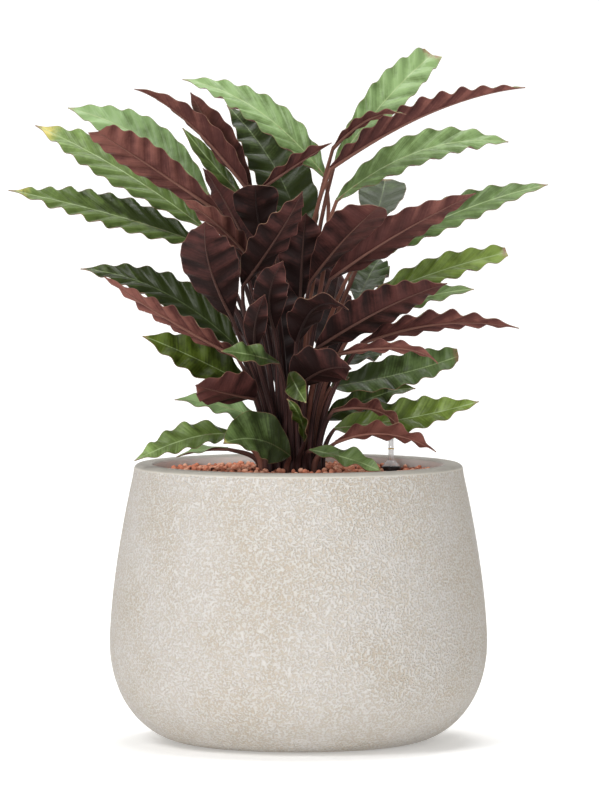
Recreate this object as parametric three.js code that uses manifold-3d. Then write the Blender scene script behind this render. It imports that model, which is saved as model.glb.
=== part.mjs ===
import * as THREE from 'three';
import { mergeVertices } from 'three/addons/utils/BufferGeometryUtils.js';
import Module from 'manifold-3d';

// A wavestar calathea, a prayer plant with long waved leaves, in a round textured planter.
// The plant grows in clay granules with a water level gauge beside it.
// Millimetres, +Z up. The origin is the middle of the planter's flat underside, and -Y is the front.

const wasm = await Module();
wasm.setup();

// Planter: a low barrel with a wide flat rim.
const POT_HEIGHT = 295;
const BELLY_RADIUS = 200;
const BELLY_HEIGHT = 107;
const BELLY_ROUNDNESS = 2.1;
const BASE_RADIUS = 111;
const SHOULDER_RADIUS = 175;
const SHOULDER_HEIGHT = 283;
const SHOULDER_POWER = 1.57;
const RIM_ROUND = 5;
const MOUTH_RADIUS = 153.5;
const WALL = 16;
const FLOOR = 16;
const POT_SEGMENTS = 36;

// Granule bed, with holes for the stems and the gauge. GAP keeps touching pieces apart.
const GAP = 0.4;
const BED_HEIGHT = 281;
const BED_CORNER = 12;
const GRANULE_PITCH = 18.1;
const GRANULE_RISE = 5.5;
const GRANULE_JITTER = 2.2;
const GRANULE_DEPTH = 6;
const MOUND_RISE = 4;
const MOUND_RADIUS = 70;
const HOLE_RADIUS = 3.6;
const HOLE_SIDES = 5;

// Stem clump.
const CLUMP = [-8, 0];
const CLUMP_RADIUS = 42;
const CLUMP_REACH = 33;
const FOOT_SPACING = 7.6;
const FOOT_ROUNDS = 300;
const FULL_LEAN = 0.7;
const FOOT_BOTTOM = BED_HEIGHT - 22;
const FOOT_TOP = BED_HEIGHT + 9;
const STEM_RADIUS = 2.6;
const COLLAR_RADIUS = 1.9;
const STEM_STEPS = 6;
const STEM_RISE = 0.4;
const STEM_BEND = 0.3;
const STEM_TURN = 0.5;

// Leaf blade.
const HALF_THICKNESS = 0.55;
const FOLD_DEGREES = 14;
const TIP_HALF_WIDTH = 0.9;
const RIB_TIP = 0.3;
const WAVE_PITCH = 25;
const WAVE_HEIGHT = 3.5;
const WAVE_FULL_WIDTH = 24;
const WAVE_SLANT = 0.45;

// Water level gauge.
const GAUGE_PLACE = [99, 70];
const GAUGE_BOTTOM = FLOOR + 10;
const SOCKET_BORE = 4.6;
const SOCKET_RADIUS = 6;
const COLLAR_PLATE_RADIUS = 10.2;
const COLLAR_PLATE_BOTTOM = BED_HEIGHT - 3;
const SOCKET_TOP = 286;
const GAUGE_TOP = 328;
const TUBE_RADIUS = 3.1;
const TUBE_BORE = 2.2;
const FLOAT_RADIUS = 3.8;
const FLOAT_ROD_RADIUS = 1;
const POINTER_RADIUS = 1.7;

const colour = {
  planter: 0xd8d1c6,
  granules: 0xb5614a,
  leaf: 0x4f7a43,
  socket: 0x1b1b1d,
  clear: 0xe8eef0,
  float: 0xd8452c,
};

function finish(hex, roughness) {
  return new THREE.MeshStandardMaterial({ color: hex, roughness, metalness: 0 });
}

// The same random numbers each time, from a seed.
function seeded(seed) {
  let state = seed;
  return () => {
    state = (state * 1664525 + 1013904223) % 4294967296;
    return state / 4294967296;
  };
}

// One closed body with shared corners and its faces pointing out.
function closed(geometry) {
  geometry.deleteAttribute('normal');
  geometry.deleteAttribute('uv');
  const merged = mergeVertices(geometry, 1e-4);
  const place = merged.getAttribute('position').array;
  const index = merged.index.array;
  const kept = [];
  let volume = 0;
  for (let i = 0; i < index.length; i += 3) {
    const [a, b, c] = [index[i], index[i + 1], index[i + 2]];
    if (a === b || b === c || a === c) continue;
    kept.push(a, b, c);
    const [p, q, r] = [a, b, c].map((k) => new THREE.Vector3().fromArray(place, 3 * k));
    volume += p.dot(q.cross(r));
  }
  if (volume < 0) {
    for (let i = 0; i < kept.length; i += 3) {
      [kept[i], kept[i + 1]] = [kept[i + 1], kept[i]];
    }
  }
  merged.setIndex(kept);
  return merged;
}

function solid(geometry) {
  const vertProperties = new Float32Array(geometry.getAttribute('position').array);
  const triVerts = new Uint32Array(geometry.index.array);
  return new wasm.Manifold(new wasm.Mesh({ numProp: 3, vertProperties, triVerts }));
}

function geometryOf(body) {
  const mesh = body.getMesh();
  const geometry = new THREE.BufferGeometry();
  geometry.setAttribute('position', new THREE.BufferAttribute(new Float32Array(mesh.vertProperties), 3));
  geometry.setIndex(Array.from(mesh.triVerts));
  return geometry;
}

// A body turned round the Z axis from [radius, height] points.
function turned(points, segments) {
  const profile = points.map(([radius, height]) => new THREE.Vector2(radius, height));
  const lathe = new THREE.LatheGeometry(profile, segments);
  lathe.rotateX(Math.PI / 2);
  return closed(lathe);
}

// Planter: the wall swells from a small foot to the belly and draws in again to the shoulder.

function quarterRound(drop) {
  return Math.max(0, 1 - drop ** BELLY_ROUNDNESS) ** (1 / BELLY_ROUNDNESS);
}

function outerRadius(height) {
  if (height < BELLY_HEIGHT) {
    const drop = (BELLY_HEIGHT - height) / BELLY_HEIGHT;
    return BASE_RADIUS + (BELLY_RADIUS - BASE_RADIUS) * quarterRound(drop);
  }
  const rise = (height - BELLY_HEIGHT) / (SHOULDER_HEIGHT - BELLY_HEIGHT);
  return BELLY_RADIUS - (BELLY_RADIUS - SHOULDER_RADIUS) * rise ** SHOULDER_POWER;
}

function innerRadius(height) {
  if (height < BELLY_HEIGHT) {
    const drop = (BELLY_HEIGHT - height) / (BELLY_HEIGHT - FLOOR);
    return BASE_RADIUS + (BELLY_RADIUS - WALL - BASE_RADIUS) * quarterRound(drop);
  }
  const rise = (height - BELLY_HEIGHT) / (SHOULDER_HEIGHT - BELLY_HEIGHT);
  return BELLY_RADIUS - WALL - (BELLY_RADIUS - WALL - MOUTH_RADIUS) * Math.min(1, rise) ** SHOULDER_POWER;
}

function planter() {
  const outside = [0, 4, 14, 32, 62, BELLY_HEIGHT, 155, 205, 248, SHOULDER_HEIGHT]
    .map((height) => [outerRadius(height), height]);
  const rim = [
    [SHOULDER_RADIUS - 1.2, POT_HEIGHT - RIM_ROUND],
    [SHOULDER_RADIUS - 2.8, POT_HEIGHT - 1.6],
    [SHOULDER_RADIUS - RIM_ROUND - 1.5, POT_HEIGHT],
    [MOUTH_RADIUS + 2, POT_HEIGHT],
    [MOUTH_RADIUS, POT_HEIGHT - 2],
  ];
  const inside = [SHOULDER_HEIGHT, 205, BELLY_HEIGHT, 55, 28, FLOOR]
    .map((height) => [innerRadius(height), height]);
  return turned([[0, 0], ...outside, ...rim, ...inside, [0, FLOOR]], POT_SEGMENTS);
}

// Clay granules: a bed that fills the planter, with a knobbly top of rounded pieces.

function mound(x, y) {
  const away = Math.hypot(x - CLUMP[0], y - CLUMP[1]) / MOUND_RADIUS;
  return MOUND_RISE * Math.exp(-away * away);
}

// A granule is a low six-sided point in a jittered honeycomb, so that neighbours share their valleys.
function knobblyTop() {
  const random = seeded(11);
  const reach = MOUTH_RADIUS - 0.6 * GRANULE_PITCH;
  const rowHeight = GRANULE_PITCH * Math.sqrt(3) / 2;
  const rows = Math.ceil(reach / rowHeight) + 1;
  const nudge = () => (2 * random() - 1) * GRANULE_JITTER;
  const granule = new Map();
  for (let row = -rows; row <= rows; row += 1) {
    for (let column = -rows * 2; column <= rows * 2; column += 1) {
      const [x, y] = [(column + row / 2) * GRANULE_PITCH, row * rowHeight];
      const shown = Math.hypot(x, y) < reach && Math.hypot(x - CLUMP[0], y - CLUMP[1]) > CLUMP_RADIUS;
      granule.set(`${column},${row}`, { x: x + nudge(), y: y + nudge(), column, row, shown });
    }
  }
  const corners = [];
  const faces = [];
  const add = (x, y, rise) => corners.push([x, y, BED_HEIGHT + rise + mound(x, y)]) - 1;
  const valleys = new Map();
  const valleyOf = (keys) => {
    const name = [...keys].sort().join(' ');
    if (!valleys.has(name)) {
      const [a, b, c] = keys.map((key) => granule.get(key));
      valleys.set(name, add((a.x + b.x + c.x) / 3, (a.y + b.y + c.y) / 3, 0));
    }
    return valleys.get(name);
  };
  const around = [[1, 0], [0, 1], [-1, 1], [-1, 0], [0, -1], [1, -1]];
  for (const [key, { x, y, column, row, shown }] of granule) {
    if (!shown) continue;
    const neighbours = around.map(([right, up]) => `${column + right},${row + up}`);
    const ring = neighbours.map((one, k) => valleyOf([key, one, neighbours[(k + 1) % 6]]));
    const top = add(x, y, GRANULE_RISE * (0.75 + 0.5 * random()));
    ring.forEach((corner, k) => faces.push([top, corner, ring[(k + 1) % 6]]));
  }
  return standing(corners, faces, BED_HEIGHT - GRANULE_DEPTH);
}

// A closed body under a surface of triangles, down to a flat bottom.
function standing(corners, faces, bottom) {
  const count = corners.length;
  const places = [...corners, ...corners.map(([x, y]) => [x, y, bottom])].flat();
  const index = [];
  const edges = new Map();
  for (const [a, b, c] of faces) {
    index.push(a, b, c, count + c, count + b, count + a);
    for (const [p, q] of [[a, b], [b, c], [c, a]]) {
      edges.set(`${p} ${q}`, [p, q]);
    }
  }
  for (const [p, q] of edges.values()) {
    if (edges.has(`${q} ${p}`)) continue;
    index.push(q, p, count + p, q, count + p, count + q);
  }
  const geometry = new THREE.BufferGeometry();
  geometry.setAttribute('position', new THREE.Float32BufferAttribute(places, 3));
  geometry.setIndex(index);
  return closed(geometry);
}

// A hole from its bottom up through the top of the bed.
function hole(radius, bottom, sides, [x, y]) {
  const post = new THREE.CylinderGeometry(radius, radius, POT_HEIGHT - bottom, sides);
  post.rotateX(Math.PI / 2);
  post.translate(x, y, (POT_HEIGHT + bottom) / 2);
  return solid(closed(post));
}

function granules(feet) {
  const bottom = FLOOR + GAP;
  const top = BED_HEIGHT - 2;
  const wall = [28, 55, BELLY_HEIGHT, 205, top].map((height) => [innerRadius(height) - 2 * GAP, height]);
  const profile = [[0, bottom], [BASE_RADIUS - BED_CORNER, bottom], ...wall, [0, top]];
  let bed = solid(turned(profile, POT_SEGMENTS)).add(solid(knobblyTop()));
  for (const foot of feet) {
    bed = bed.subtract(hole(HOLE_RADIUS, FOOT_BOTTOM - GAP, HOLE_SIDES, foot));
  }
  bed = bed.subtract(hole(SOCKET_RADIUS + 0.6, GAUGE_BOTTOM - 4, 10, GAUGE_PLACE));
  bed = bed.subtract(hole(COLLAR_PLATE_RADIUS + 0.7, COLLAR_PLATE_BOTTOM - 1, 12, GAUGE_PLACE));
  return geometryOf(bed);
}

// Leaves. Each row is one leaf: where its blade starts (its collar), the middle of its midrib, its tip, the
// way its green upper face looks, and its full width. A face that looks to the back (+Y) shows its maroon
// underside at the front. Some rows end in a form: a fold closes the blade like a book by those degrees, a
// blunt blade has no drip tip, a round one ends in an arc, a broad one is widest near its collar, and a calm
// one has waves lower by that share. Rows 51 to 54 are at the back, and the last is a young furled leaf.

const LEAVES = [
  [[-104, 15, 527], [-199, -12, 559], [-304, -50, 585], [0, -1, 1], 48, { broad: 1 }],
  [[-99, 45, 541], [-188, 58, 603], [-281, 80, 651], [0, -1, 0.9], 50],
  [[-96, 85, 577], [-164, 110, 635], [-248, 140, 669], [0, -1, 0.6], 45],
  [[-81, -25, 560], [-150, -45, 607], [-209, -92, 647], [0.1, 1, 0.8], 46, { blunt: 1, calm: 0.6 }],
  [[-54, -2, 586], [-118, -22, 658], [-172, -45, 691], [0.3, 0.6, 1], 36, { fold: 30, broad: 1, calm: 0.4 }],
  [[-49, 27, 584], [-84, 15, 636], [-114, 5, 687], [0.6, 1, 0.1], 38, { calm: 0.5 }],
  [[-57, 45, 574], [-88, 43, 607], [-123, 40, 649], [0, -1, 0.5], 19],
  [[30, 44, 595], [-43, 62, 667], [-124, 100, 700], [0.3, -1, 0.7], 41, { broad: 1 }],
  [[4, 60, 518], [-20, 95, 596], [-77, 135, 672], [0.4, -1, 0.3], 64, { broad: 1 }],
  [[-41, 2, 585], [2, -5, 614], [35, -5, 634], [-0.2, 0.6, 1], 22, { fold: 30 }],
  [[37, 16, 608], [93, 42, 679], [143, 82, 726], [-0.2, -1, 0.3], 43, { blunt: 1 }],
  [[33, -10, 607], [139, -50, 667], [236, -95, 693], [0, 0.3, 1], 34, { fold: 50, broad: 1 }],
  [[36, 0, 628], [76, -52, 661], [112, -90, 665], [0, 0.6, 1], 16],
  [[40, 8, 573], [130, 27, 625], [223, 45, 634], [0, -1, 0.9], 42],
  [[78, 90, 542], [88, 145, 567], [94, 190, 591], [0, -0.5, 1], 53, { round: 1, calm: 0.3 }],
  [[12, -35, 489], [46, -80, 533], [83, -130, 570], [-0.3, 1, 0.9], 58, { round: 1, calm: 0.4 }],
  [[33, -25, 491], [104, -45, 539], [186, -50, 582], [-0.2, 1, 0.7], 46, { broad: 1, calm: 0.7 }],
  [[57, 6, 503], [160, 5, 557], [263, -10, 590], [0, -1, 0.8], 39],
  [[62, 38, 463], [76, 98, 490], [88, 145, 506], [0, -0.6, 1], 44],
  [[74, 20, 466], [140, 24, 494], [221, 30, 517], [0, -1, 0.9], 35, { broad: 1, blunt: 1 }],
  [[18, -40, 419], [92, -65, 463], [155, -95, 489], [-0.2, 1, 0.7], 53, { broad: 1, calm: 0.8 }],
  [[65, 0, 448], [128, -15, 470], [185, -20, 480], [0, -1, 1], 27],
  [[65, -22, 423], [150, -44, 445], [231, -70, 441], [0, 0.8, 1], 34, { broad: 1 }],
  [[39, -48, 413], [107, -62, 420], [146, -70, 404], [0, 0.8, 1], 20],
  [[46, 15, 398], [68, 35, 407], [90, 60, 411], [0, -1, 1], 26],
  [[34, 0, 376], [104, -5, 389], [169, -15, 409], [0, -1, 1], 47, { broad: 1, blunt: 1, calm: 0.7 }],
  [[28, 25, 339], [84, 25, 365], [124, 20, 373], [0, -1, 1], 34, { broad: 1 }],
  [[38, 0, 332], [120, -10, 344], [190, -30, 362], [0, -1, 0.9], 46, { broad: 1 }],
  [[36, -30, 353], [82, -45, 354], [110, -55, 330], [0, 0.5, 1], 28],
  [[39, -35, 320], [93, -60, 330], [144, -80, 312], [0, 0.7, 1], 34],
  [[11, -45, 312], [51, -62, 304], [87, -75, 291], [0.1, -1, 1.4], 28],
  [[-9, -52, 306], [-43, -82, 325], [-78, -115, 323], [-0.2, -1, 0.6], 62, { broad: 1, calm: 0.6 }],
  [[-67, -25, 326], [-112, -50, 325], [-172, -70, 302], [-0.1, -1, 1], 37, { broad: 1 }],
  [[-74, 0, 311], [-102, -5, 309], [-129, -8, 302], [0, -0.3, 1], 16],
  [[-38, -20, 342], [-88, -35, 359], [-130, -50, 365], [0, -1, 1], 27, { broad: 1 }],
  [[-46, -36, 366], [-72, -78, 373], [-107, -120, 384], [0.2, 1, 0.4], 58, { broad: 1, calm: 0.8 }],
  [[-20, -62, 404], [-51, -84, 414], [-81, -92, 418], [0, -1, 0.8], 26],
  [[-52, -8, 378], [-119, -25, 412], [-164, -35, 431], [-0.1, -1, 0.8], 49, { broad: 1 }],
  [[-64, -24, 409], [-141, -56, 453], [-203, -90, 496], [0.2, 0.6, 1], 34, { broad: 1 }],
  [[-62, 0, 415], [-143, 3, 476], [-231, 20, 500], [0, -1, 1], 46, { broad: 1 }],
  [[-69, -60, 451], [-92, -120, 507], [-96, -175, 556], [0.1, 1, 0.6], 62, { calm: 0.7 }],
  [[-46, -21, 507], [-83, -55, 548], [-121, -75, 576], [0.3, 1, 0.7], 28],
  [[-36, -36, 528], [-43, -54, 560], [-45, -72, 591], [0, 1, 0.3], 50, { round: 1, calm: 0.7 }],
  [[-59, -54, 485], [-20, -100, 542], [4, -140, 586], [-0.5, 1, 0.6], 48, { broad: 1, calm: 0.8 }],
  [[2, -24, 469], [4, -38, 515], [8, -50, 561], [0, 1, 0.4], 54],
  [[-25, -46, 438], [-30, -85, 477], [-16, -115, 513], [0.3, 1, 0.7], 38],
  [[-45, -58, 416], [-45, -88, 447], [-35, -112, 478], [0, 1, 0.4], 26],
  [[-2, -45, 425], [19, -90, 465], [52, -112, 462], [-0.2, 0.8, 1], 40, { broad: 1 }],
  [[-2, -50, 378], [27, -95, 399], [55, -120, 401], [-0.2, 1, 0.3], 62, { broad: 1, calm: 0.8 }],
  [[-9, -78, 395], [-3, -96, 383], [8, -104, 365], [-0.5, -1, 0.3], 24],
  [[-28, 70, 465], [-70, 110, 553], [-103, 140, 604], [0.2, 1, 0.4], 56, { broad: 1, calm: 0.7 }],
  [[28, 70, 407], [39, 130, 466], [47, 180, 503], [0, 1, 0.6], 64, { broad: 1, calm: 0.7 }],
  [[-40, 50, 406], [-88, 105, 448], [-150, 165, 460], [0, 1, 0.8], 56, { calm: 0.7 }],
  [[-18, 45, 369], [-23, 86, 446], [-19, 138, 516], [0, 1, 0.6], 56, { calm: 0.7 }],
  [[6, -62, 322], [2, -90, 349], [-12, -104, 369], [-0.6, -1, 0.3], 18],
].map(([collar, mid, tip, face, width, form]) => ({ collar, mid, tip, face, width, ...form }));

const vector = (list) => new THREE.Vector3(...list);

// Each foot starts on its own leaf's side of the clump, further out where the stem leans more. Then feet
// that stand too close push each other apart, so that stems fan out from the clump and don't cross.
function seats() {
  const feet = LEAVES.map(({ collar: [x, y, z] }) => {
    const [dx, dy] = [x - CLUMP[0], y - CLUMP[1]];
    const away = Math.hypot(dx, dy);
    const lean = Math.min(1, away / (z - BED_HEIGHT) / FULL_LEAN);
    return [CLUMP[0] + (CLUMP_REACH * lean * dx) / away, CLUMP[1] + (CLUMP_REACH * lean * dy) / away];
  });
  for (let round = 0; round < FOOT_ROUNDS; round += 1) {
    feet.forEach((one, i) => feet.slice(i + 1).forEach((other) => {
      const [dx, dy] = [other[0] - one[0], other[1] - one[1]];
      const apart = Math.hypot(dx, dy);
      if (apart >= FOOT_SPACING) return;
      const push = 0.5 * (FOOT_SPACING / apart - 1);
      one[0] -= push * dx;
      one[1] -= push * dy;
      other[0] += push * dx;
      other[1] += push * dy;
    }));
    for (const foot of feet) {
      const away = Math.hypot(foot[0] - CLUMP[0], foot[1] - CLUMP[1]);
      const keep = Math.min(1, CLUMP_REACH / away);
      foot[0] = CLUMP[0] + keep * (foot[0] - CLUMP[0]);
      foot[1] = CLUMP[1] + keep * (foot[1] - CLUMP[1]);
    }
  }
  return feet;
}

function bladeCurve({ collar, mid, tip }) {
  const [a, m, b] = [collar, mid, tip].map(vector);
  const pull = m.clone().multiplyScalar(2).sub(a.clone().add(b).multiplyScalar(0.5));
  return new THREE.QuadraticBezierCurve3(a, pull, b);
}

function stemCurve(foot, blade) {
  const start = new THREE.Vector3(foot[0], foot[1], FOOT_TOP);
  const end = blade.getPoint(0);
  const length = start.distanceTo(end);
  const straight = end.clone().sub(start).normalize();
  const arrive = straight.addScaledVector(blade.getTangent(0), STEM_TURN).normalize();
  const rise = start.clone().add(new THREE.Vector3(0, 0, STEM_RISE * length));
  const bend = end.clone().addScaledVector(arrive, -STEM_BEND * length);
  return new THREE.CubicBezierCurve3(start, rise, bend, end);
}

// A blade swells from its collar and narrows to its tip. A broad one is widest nearer its collar, a blunt
// one ends before its outline has closed, and a round one closes in an arc.
function halfWidth(leaf, t) {
  const share = t * (leaf.round ? 0.72 : leaf.blunt ? 0.82 : 1);
  const early = leaf.broad ? 0.72 : 0.92;
  const fullness = 0.85;
  const arcStart = 0.68;
  const arc = leaf.round ? Math.sqrt(1 - Math.max(0, (t - arcStart) / (1 - arcStart)) ** 2) : 1;
  return 0.5 * leaf.width * arc * Math.sin(Math.PI * share ** early) ** fullness;
}

// One leaf is lofted through rings of six corners, from its foot to its tip. A stem's ring is a
// hexagon. A blade's ring is a thin strip: edge, midrib and edge on the upper face, then the same below.
function leafBody(leaf, foot, number) {
  const random = seeded(100 + number);
  const blade = bladeCurve(leaf);
  const stem = stemCurve(foot, blade);
  const steps = 2 * Math.max(2, Math.round(blade.getLength() / WAVE_PITCH));
  const lead = random() < 0.5 ? 1 : -1;
  const fold = THREE.MathUtils.degToRad(leaf.fold ?? FOLD_DEGREES);
  const rings = [{ at: new THREE.Vector3(foot[0], foot[1], FOOT_BOTTOM), radius: STEM_RADIUS }];
  for (let k = 0; k < STEM_STEPS; k += 1) {
    const t = k / STEM_STEPS;
    rings.push({ at: stem.getPointAt(t), radius: THREE.MathUtils.lerp(STEM_RADIUS, COLLAR_RADIUS, t) });
  }
  for (let k = 0; k <= steps; k += 1) {
    const t = k / steps;
    const half = Math.max(k === steps ? TIP_HALF_WIDTH : COLLAR_RADIUS, halfWidth(leaf, t));
    const side = k % 2 ? lead : -lead;
    const swing = side * WAVE_HEIGHT * (leaf.calm ?? 1) * Math.min(1, (2 * half) / WAVE_FULL_WIDTH);
    rings.push({
      at: blade.getPointAt(t),
      half,
      fold,
      slant: WAVE_SLANT * half * (1 - t ** 3),
      left: swing * (0.7 + 0.6 * random()),
      right: -swing * (0.7 + 0.6 * random()),
      rib: THREE.MathUtils.lerp(COLLAR_RADIUS, RIB_TIP, Math.min(1, 1.3 * t)),
    });
  }
  return lofted(rings, vector(leaf.face), STEM_STEPS + 1);
}

// The rings stand square to the midrib. A blade's rings turn their upper side to its face, and the stem
// below carries on from the first of them without a twist.
function lofted(rings, face, firstBlade) {
  const along = rings.map((ring, k) => {
    const before = rings[Math.max(0, k - 1)].at;
    const after = rings[Math.min(rings.length - 1, k + 1)].at;
    return after.clone().sub(before).normalize();
  });
  const squared = (hint, tangent) => hint.clone().addScaledVector(tangent, -hint.dot(tangent)).normalize();
  const normals = along.map((tangent) => squared(face, tangent));
  for (let k = firstBlade - 1; k >= 0; k -= 1) {
    normals[k] = squared(normals[k + 1], along[k]);
  }
  const places = [];
  rings.forEach((ring, k) => {
    const up = normals[k];
    const side = along[k].clone().cross(up);
    const corner = (sideways, upward, forward = 0) => {
      const point = ring.at.clone().addScaledVector(side, sideways);
      point.addScaledVector(up, upward).addScaledVector(along[k], forward);
      places.push(point.x, point.y, point.z);
    };
    if (ring.radius) {
      for (const degrees of [150, 90, 30, -30, -90, -150]) {
        const angle = THREE.MathUtils.degToRad(degrees);
        corner(ring.radius * Math.cos(angle), ring.radius * Math.sin(angle));
      }
      return;
    }
    const out = ring.half * Math.cos(ring.fold);
    const lift = ring.half * Math.sin(ring.fold);
    corner(-out, lift + ring.left + HALF_THICKNESS, ring.slant);
    corner(0, HALF_THICKNESS);
    corner(out, lift + ring.right + HALF_THICKNESS, ring.slant);
    corner(out, lift + ring.right - HALF_THICKNESS, ring.slant);
    corner(0, -HALF_THICKNESS - ring.rib);
    corner(-out, lift + ring.left - HALF_THICKNESS, ring.slant);
  });
  // Both faces of a blade are split from corner to corner the same way, so that they never cross.
  const index = [];
  for (let k = 0; k + 1 < rings.length; k += 1) {
    for (let j = 0; j < 6; j += 1) {
      const [a, b] = [6 * k + j, 6 * k + (j + 1) % 6];
      const [c, d] = [a + 6, b + 6];
      if (j === 1 || j === 4) index.push(a, b, c, b, d, c);
      else index.push(a, b, d, a, d, c);
    }
  }
  const last = 6 * (rings.length - 1);
  for (let j = 1; j < 5; j += 1) {
    index.push(0, j + 1, j, last, last + j, last + j + 1);
  }
  const geometry = new THREE.BufferGeometry();
  geometry.setAttribute('position', new THREE.Float32BufferAttribute(places, 3));
  geometry.setIndex(index);
  return closed(geometry);
}

// Water level gauge: a black socket that reaches down to the water, a clear tube on it, and a float
// on the water whose rod carries a red pointer up inside the tube.

function gaugeSocket() {
  return turned([
    [SOCKET_BORE, GAUGE_BOTTOM], [SOCKET_RADIUS, GAUGE_BOTTOM], [SOCKET_RADIUS, COLLAR_PLATE_BOTTOM],
    [COLLAR_PLATE_RADIUS, COLLAR_PLATE_BOTTOM], [COLLAR_PLATE_RADIUS, SOCKET_TOP - 1.5],
    [COLLAR_PLATE_RADIUS - 1.4, SOCKET_TOP], [SOCKET_BORE, SOCKET_TOP], [SOCKET_BORE, GAUGE_BOTTOM],
  ], 16);
}

function gaugeTube() {
  const seat = SOCKET_TOP + GAP;
  return turned([
    [0, GAUGE_TOP], [TUBE_BORE, GAUGE_TOP], [TUBE_RADIUS, GAUGE_TOP - 1], [TUBE_RADIUS, seat + 8],
    [COLLAR_PLATE_RADIUS - 1, seat], [COLLAR_PLATE_RADIUS - 2.6, seat], [TUBE_BORE, seat + 7],
    [TUBE_BORE, GAUGE_TOP - 1.2], [0, GAUGE_TOP - 1.2],
  ], 16);
}

function gaugeFloat() {
  const bottom = GAUGE_BOTTOM + 20;
  const pointer = SOCKET_TOP + 8;
  return turned([
    [0, bottom], [FLOAT_RADIUS, bottom + 2], [FLOAT_RADIUS, bottom + 40], [FLOAT_ROD_RADIUS, bottom + 42],
    [FLOAT_ROD_RADIUS, pointer], [POINTER_RADIUS, pointer + 0.5], [POINTER_RADIUS, pointer + 3],
    [0, pointer + 3.5],
  ], 12);
}

// The whole object

function place(parent, name, geometry, material) {
  const mesh = new THREE.Mesh(geometry, material);
  mesh.name = name;
  parent.add(mesh);
}

const plant = new THREE.Group();
const feet = seats();
place(plant, 'planter', planter(), finish(colour.planter, 0.9));
place(plant, 'clay_granules', granules(feet), finish(colour.granules, 0.95));

const gauge = new THREE.Group();
gauge.position.set(GAUGE_PLACE[0], GAUGE_PLACE[1], 0);
place(gauge, 'gauge_socket', gaugeSocket(), finish(colour.socket, 0.5));
place(gauge, 'gauge_tube', gaugeTube(), finish(colour.clear, 0.1));
place(gauge, 'gauge_float', gaugeFloat(), finish(colour.float, 0.5));
plant.add(gauge);

LEAVES.forEach((leaf, k) => {
  const name = `leaf_${String(k + 1).padStart(2, '0')}`;
  place(plant, name, leafBody(leaf, feet[k], k), finish(colour.leaf, 0.5));
});

export default plant;
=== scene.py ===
"""A wavestar calathea in a round planter, as seen in a studio.

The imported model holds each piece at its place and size. This script gives the pieces their fine shapes and
finishes: waved blades on ribbed stems, a bed of clay granules, a water level gauge and a grained planter.
"""

import itertools
import math
import random

import bpy
import numpy as np
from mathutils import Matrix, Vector


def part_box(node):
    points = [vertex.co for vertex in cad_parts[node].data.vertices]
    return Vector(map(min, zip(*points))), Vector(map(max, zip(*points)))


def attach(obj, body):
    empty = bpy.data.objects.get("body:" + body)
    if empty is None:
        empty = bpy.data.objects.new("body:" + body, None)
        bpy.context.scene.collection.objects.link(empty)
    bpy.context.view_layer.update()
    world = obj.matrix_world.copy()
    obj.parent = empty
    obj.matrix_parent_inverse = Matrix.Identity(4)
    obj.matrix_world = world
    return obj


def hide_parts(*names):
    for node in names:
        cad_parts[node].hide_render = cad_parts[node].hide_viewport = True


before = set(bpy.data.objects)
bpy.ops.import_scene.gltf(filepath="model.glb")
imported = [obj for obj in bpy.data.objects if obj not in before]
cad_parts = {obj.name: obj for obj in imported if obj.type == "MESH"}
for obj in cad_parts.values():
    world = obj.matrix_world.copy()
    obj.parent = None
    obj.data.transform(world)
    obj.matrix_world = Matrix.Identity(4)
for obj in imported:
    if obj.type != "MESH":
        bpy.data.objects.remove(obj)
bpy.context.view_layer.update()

bl_info = {
    "name": "Potted wavestar calathea",
    "version": (1, 0, 0),
    "blender": (4, 5, 0),
    "location": "View3D > Sidebar > Calathea",
    "description": "Builds a prayer plant with waved leaves in a grained planter",
    "category": "Add Mesh",
}

MM = 0.001


def linear(hex_text):
    """A colour written as sRGB hex, such as "#D8D1C6", as linear red, green, blue and alpha."""
    parts = [int(hex_text[k:k + 2], 16) / 255 for k in (1, 3, 5)]
    return (*((c / 12.92 if c <= 0.04045 else ((c + 0.055) / 1.055) ** 2.4) for c in parts), 1.0)


def length(name, description, millimetres):
    return bpy.props.FloatProperty(name=name, description=description, default=millimetres * MM,
                                   unit="LENGTH", precision=4)


def number(name, description, value):
    return bpy.props.FloatProperty(name=name, description=description, default=value)


def angle(name, description, degrees):
    return bpy.props.FloatProperty(name=name, description=description, default=math.radians(degrees),
                                   subtype="ANGLE")


def tint(name, description, hex_text):
    return bpy.props.FloatVectorProperty(name=name, description=description, default=linear(hex_text),
                                         subtype="COLOR", size=4, min=0, max=1)


class StageSettings(bpy.types.PropertyGroup):
    elevation: angle("Elevation", "How far the camera looks down", 3.2)
    distance: length("Distance", "From the camera to the planter's axis", 7000)
    view_height: length("View height", "Height that the picture covers at the planter's axis", 846.4)
    aim_side: length("Aim to the side", "Where the middle of the picture lies, right of the axis", 1.6)
    aim_height: length("Aim height", "Where the middle of the picture lies, above the floor", 362)
    floor: tint("Floor", "Pale studio paper", "#F7F7F6")


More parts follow.
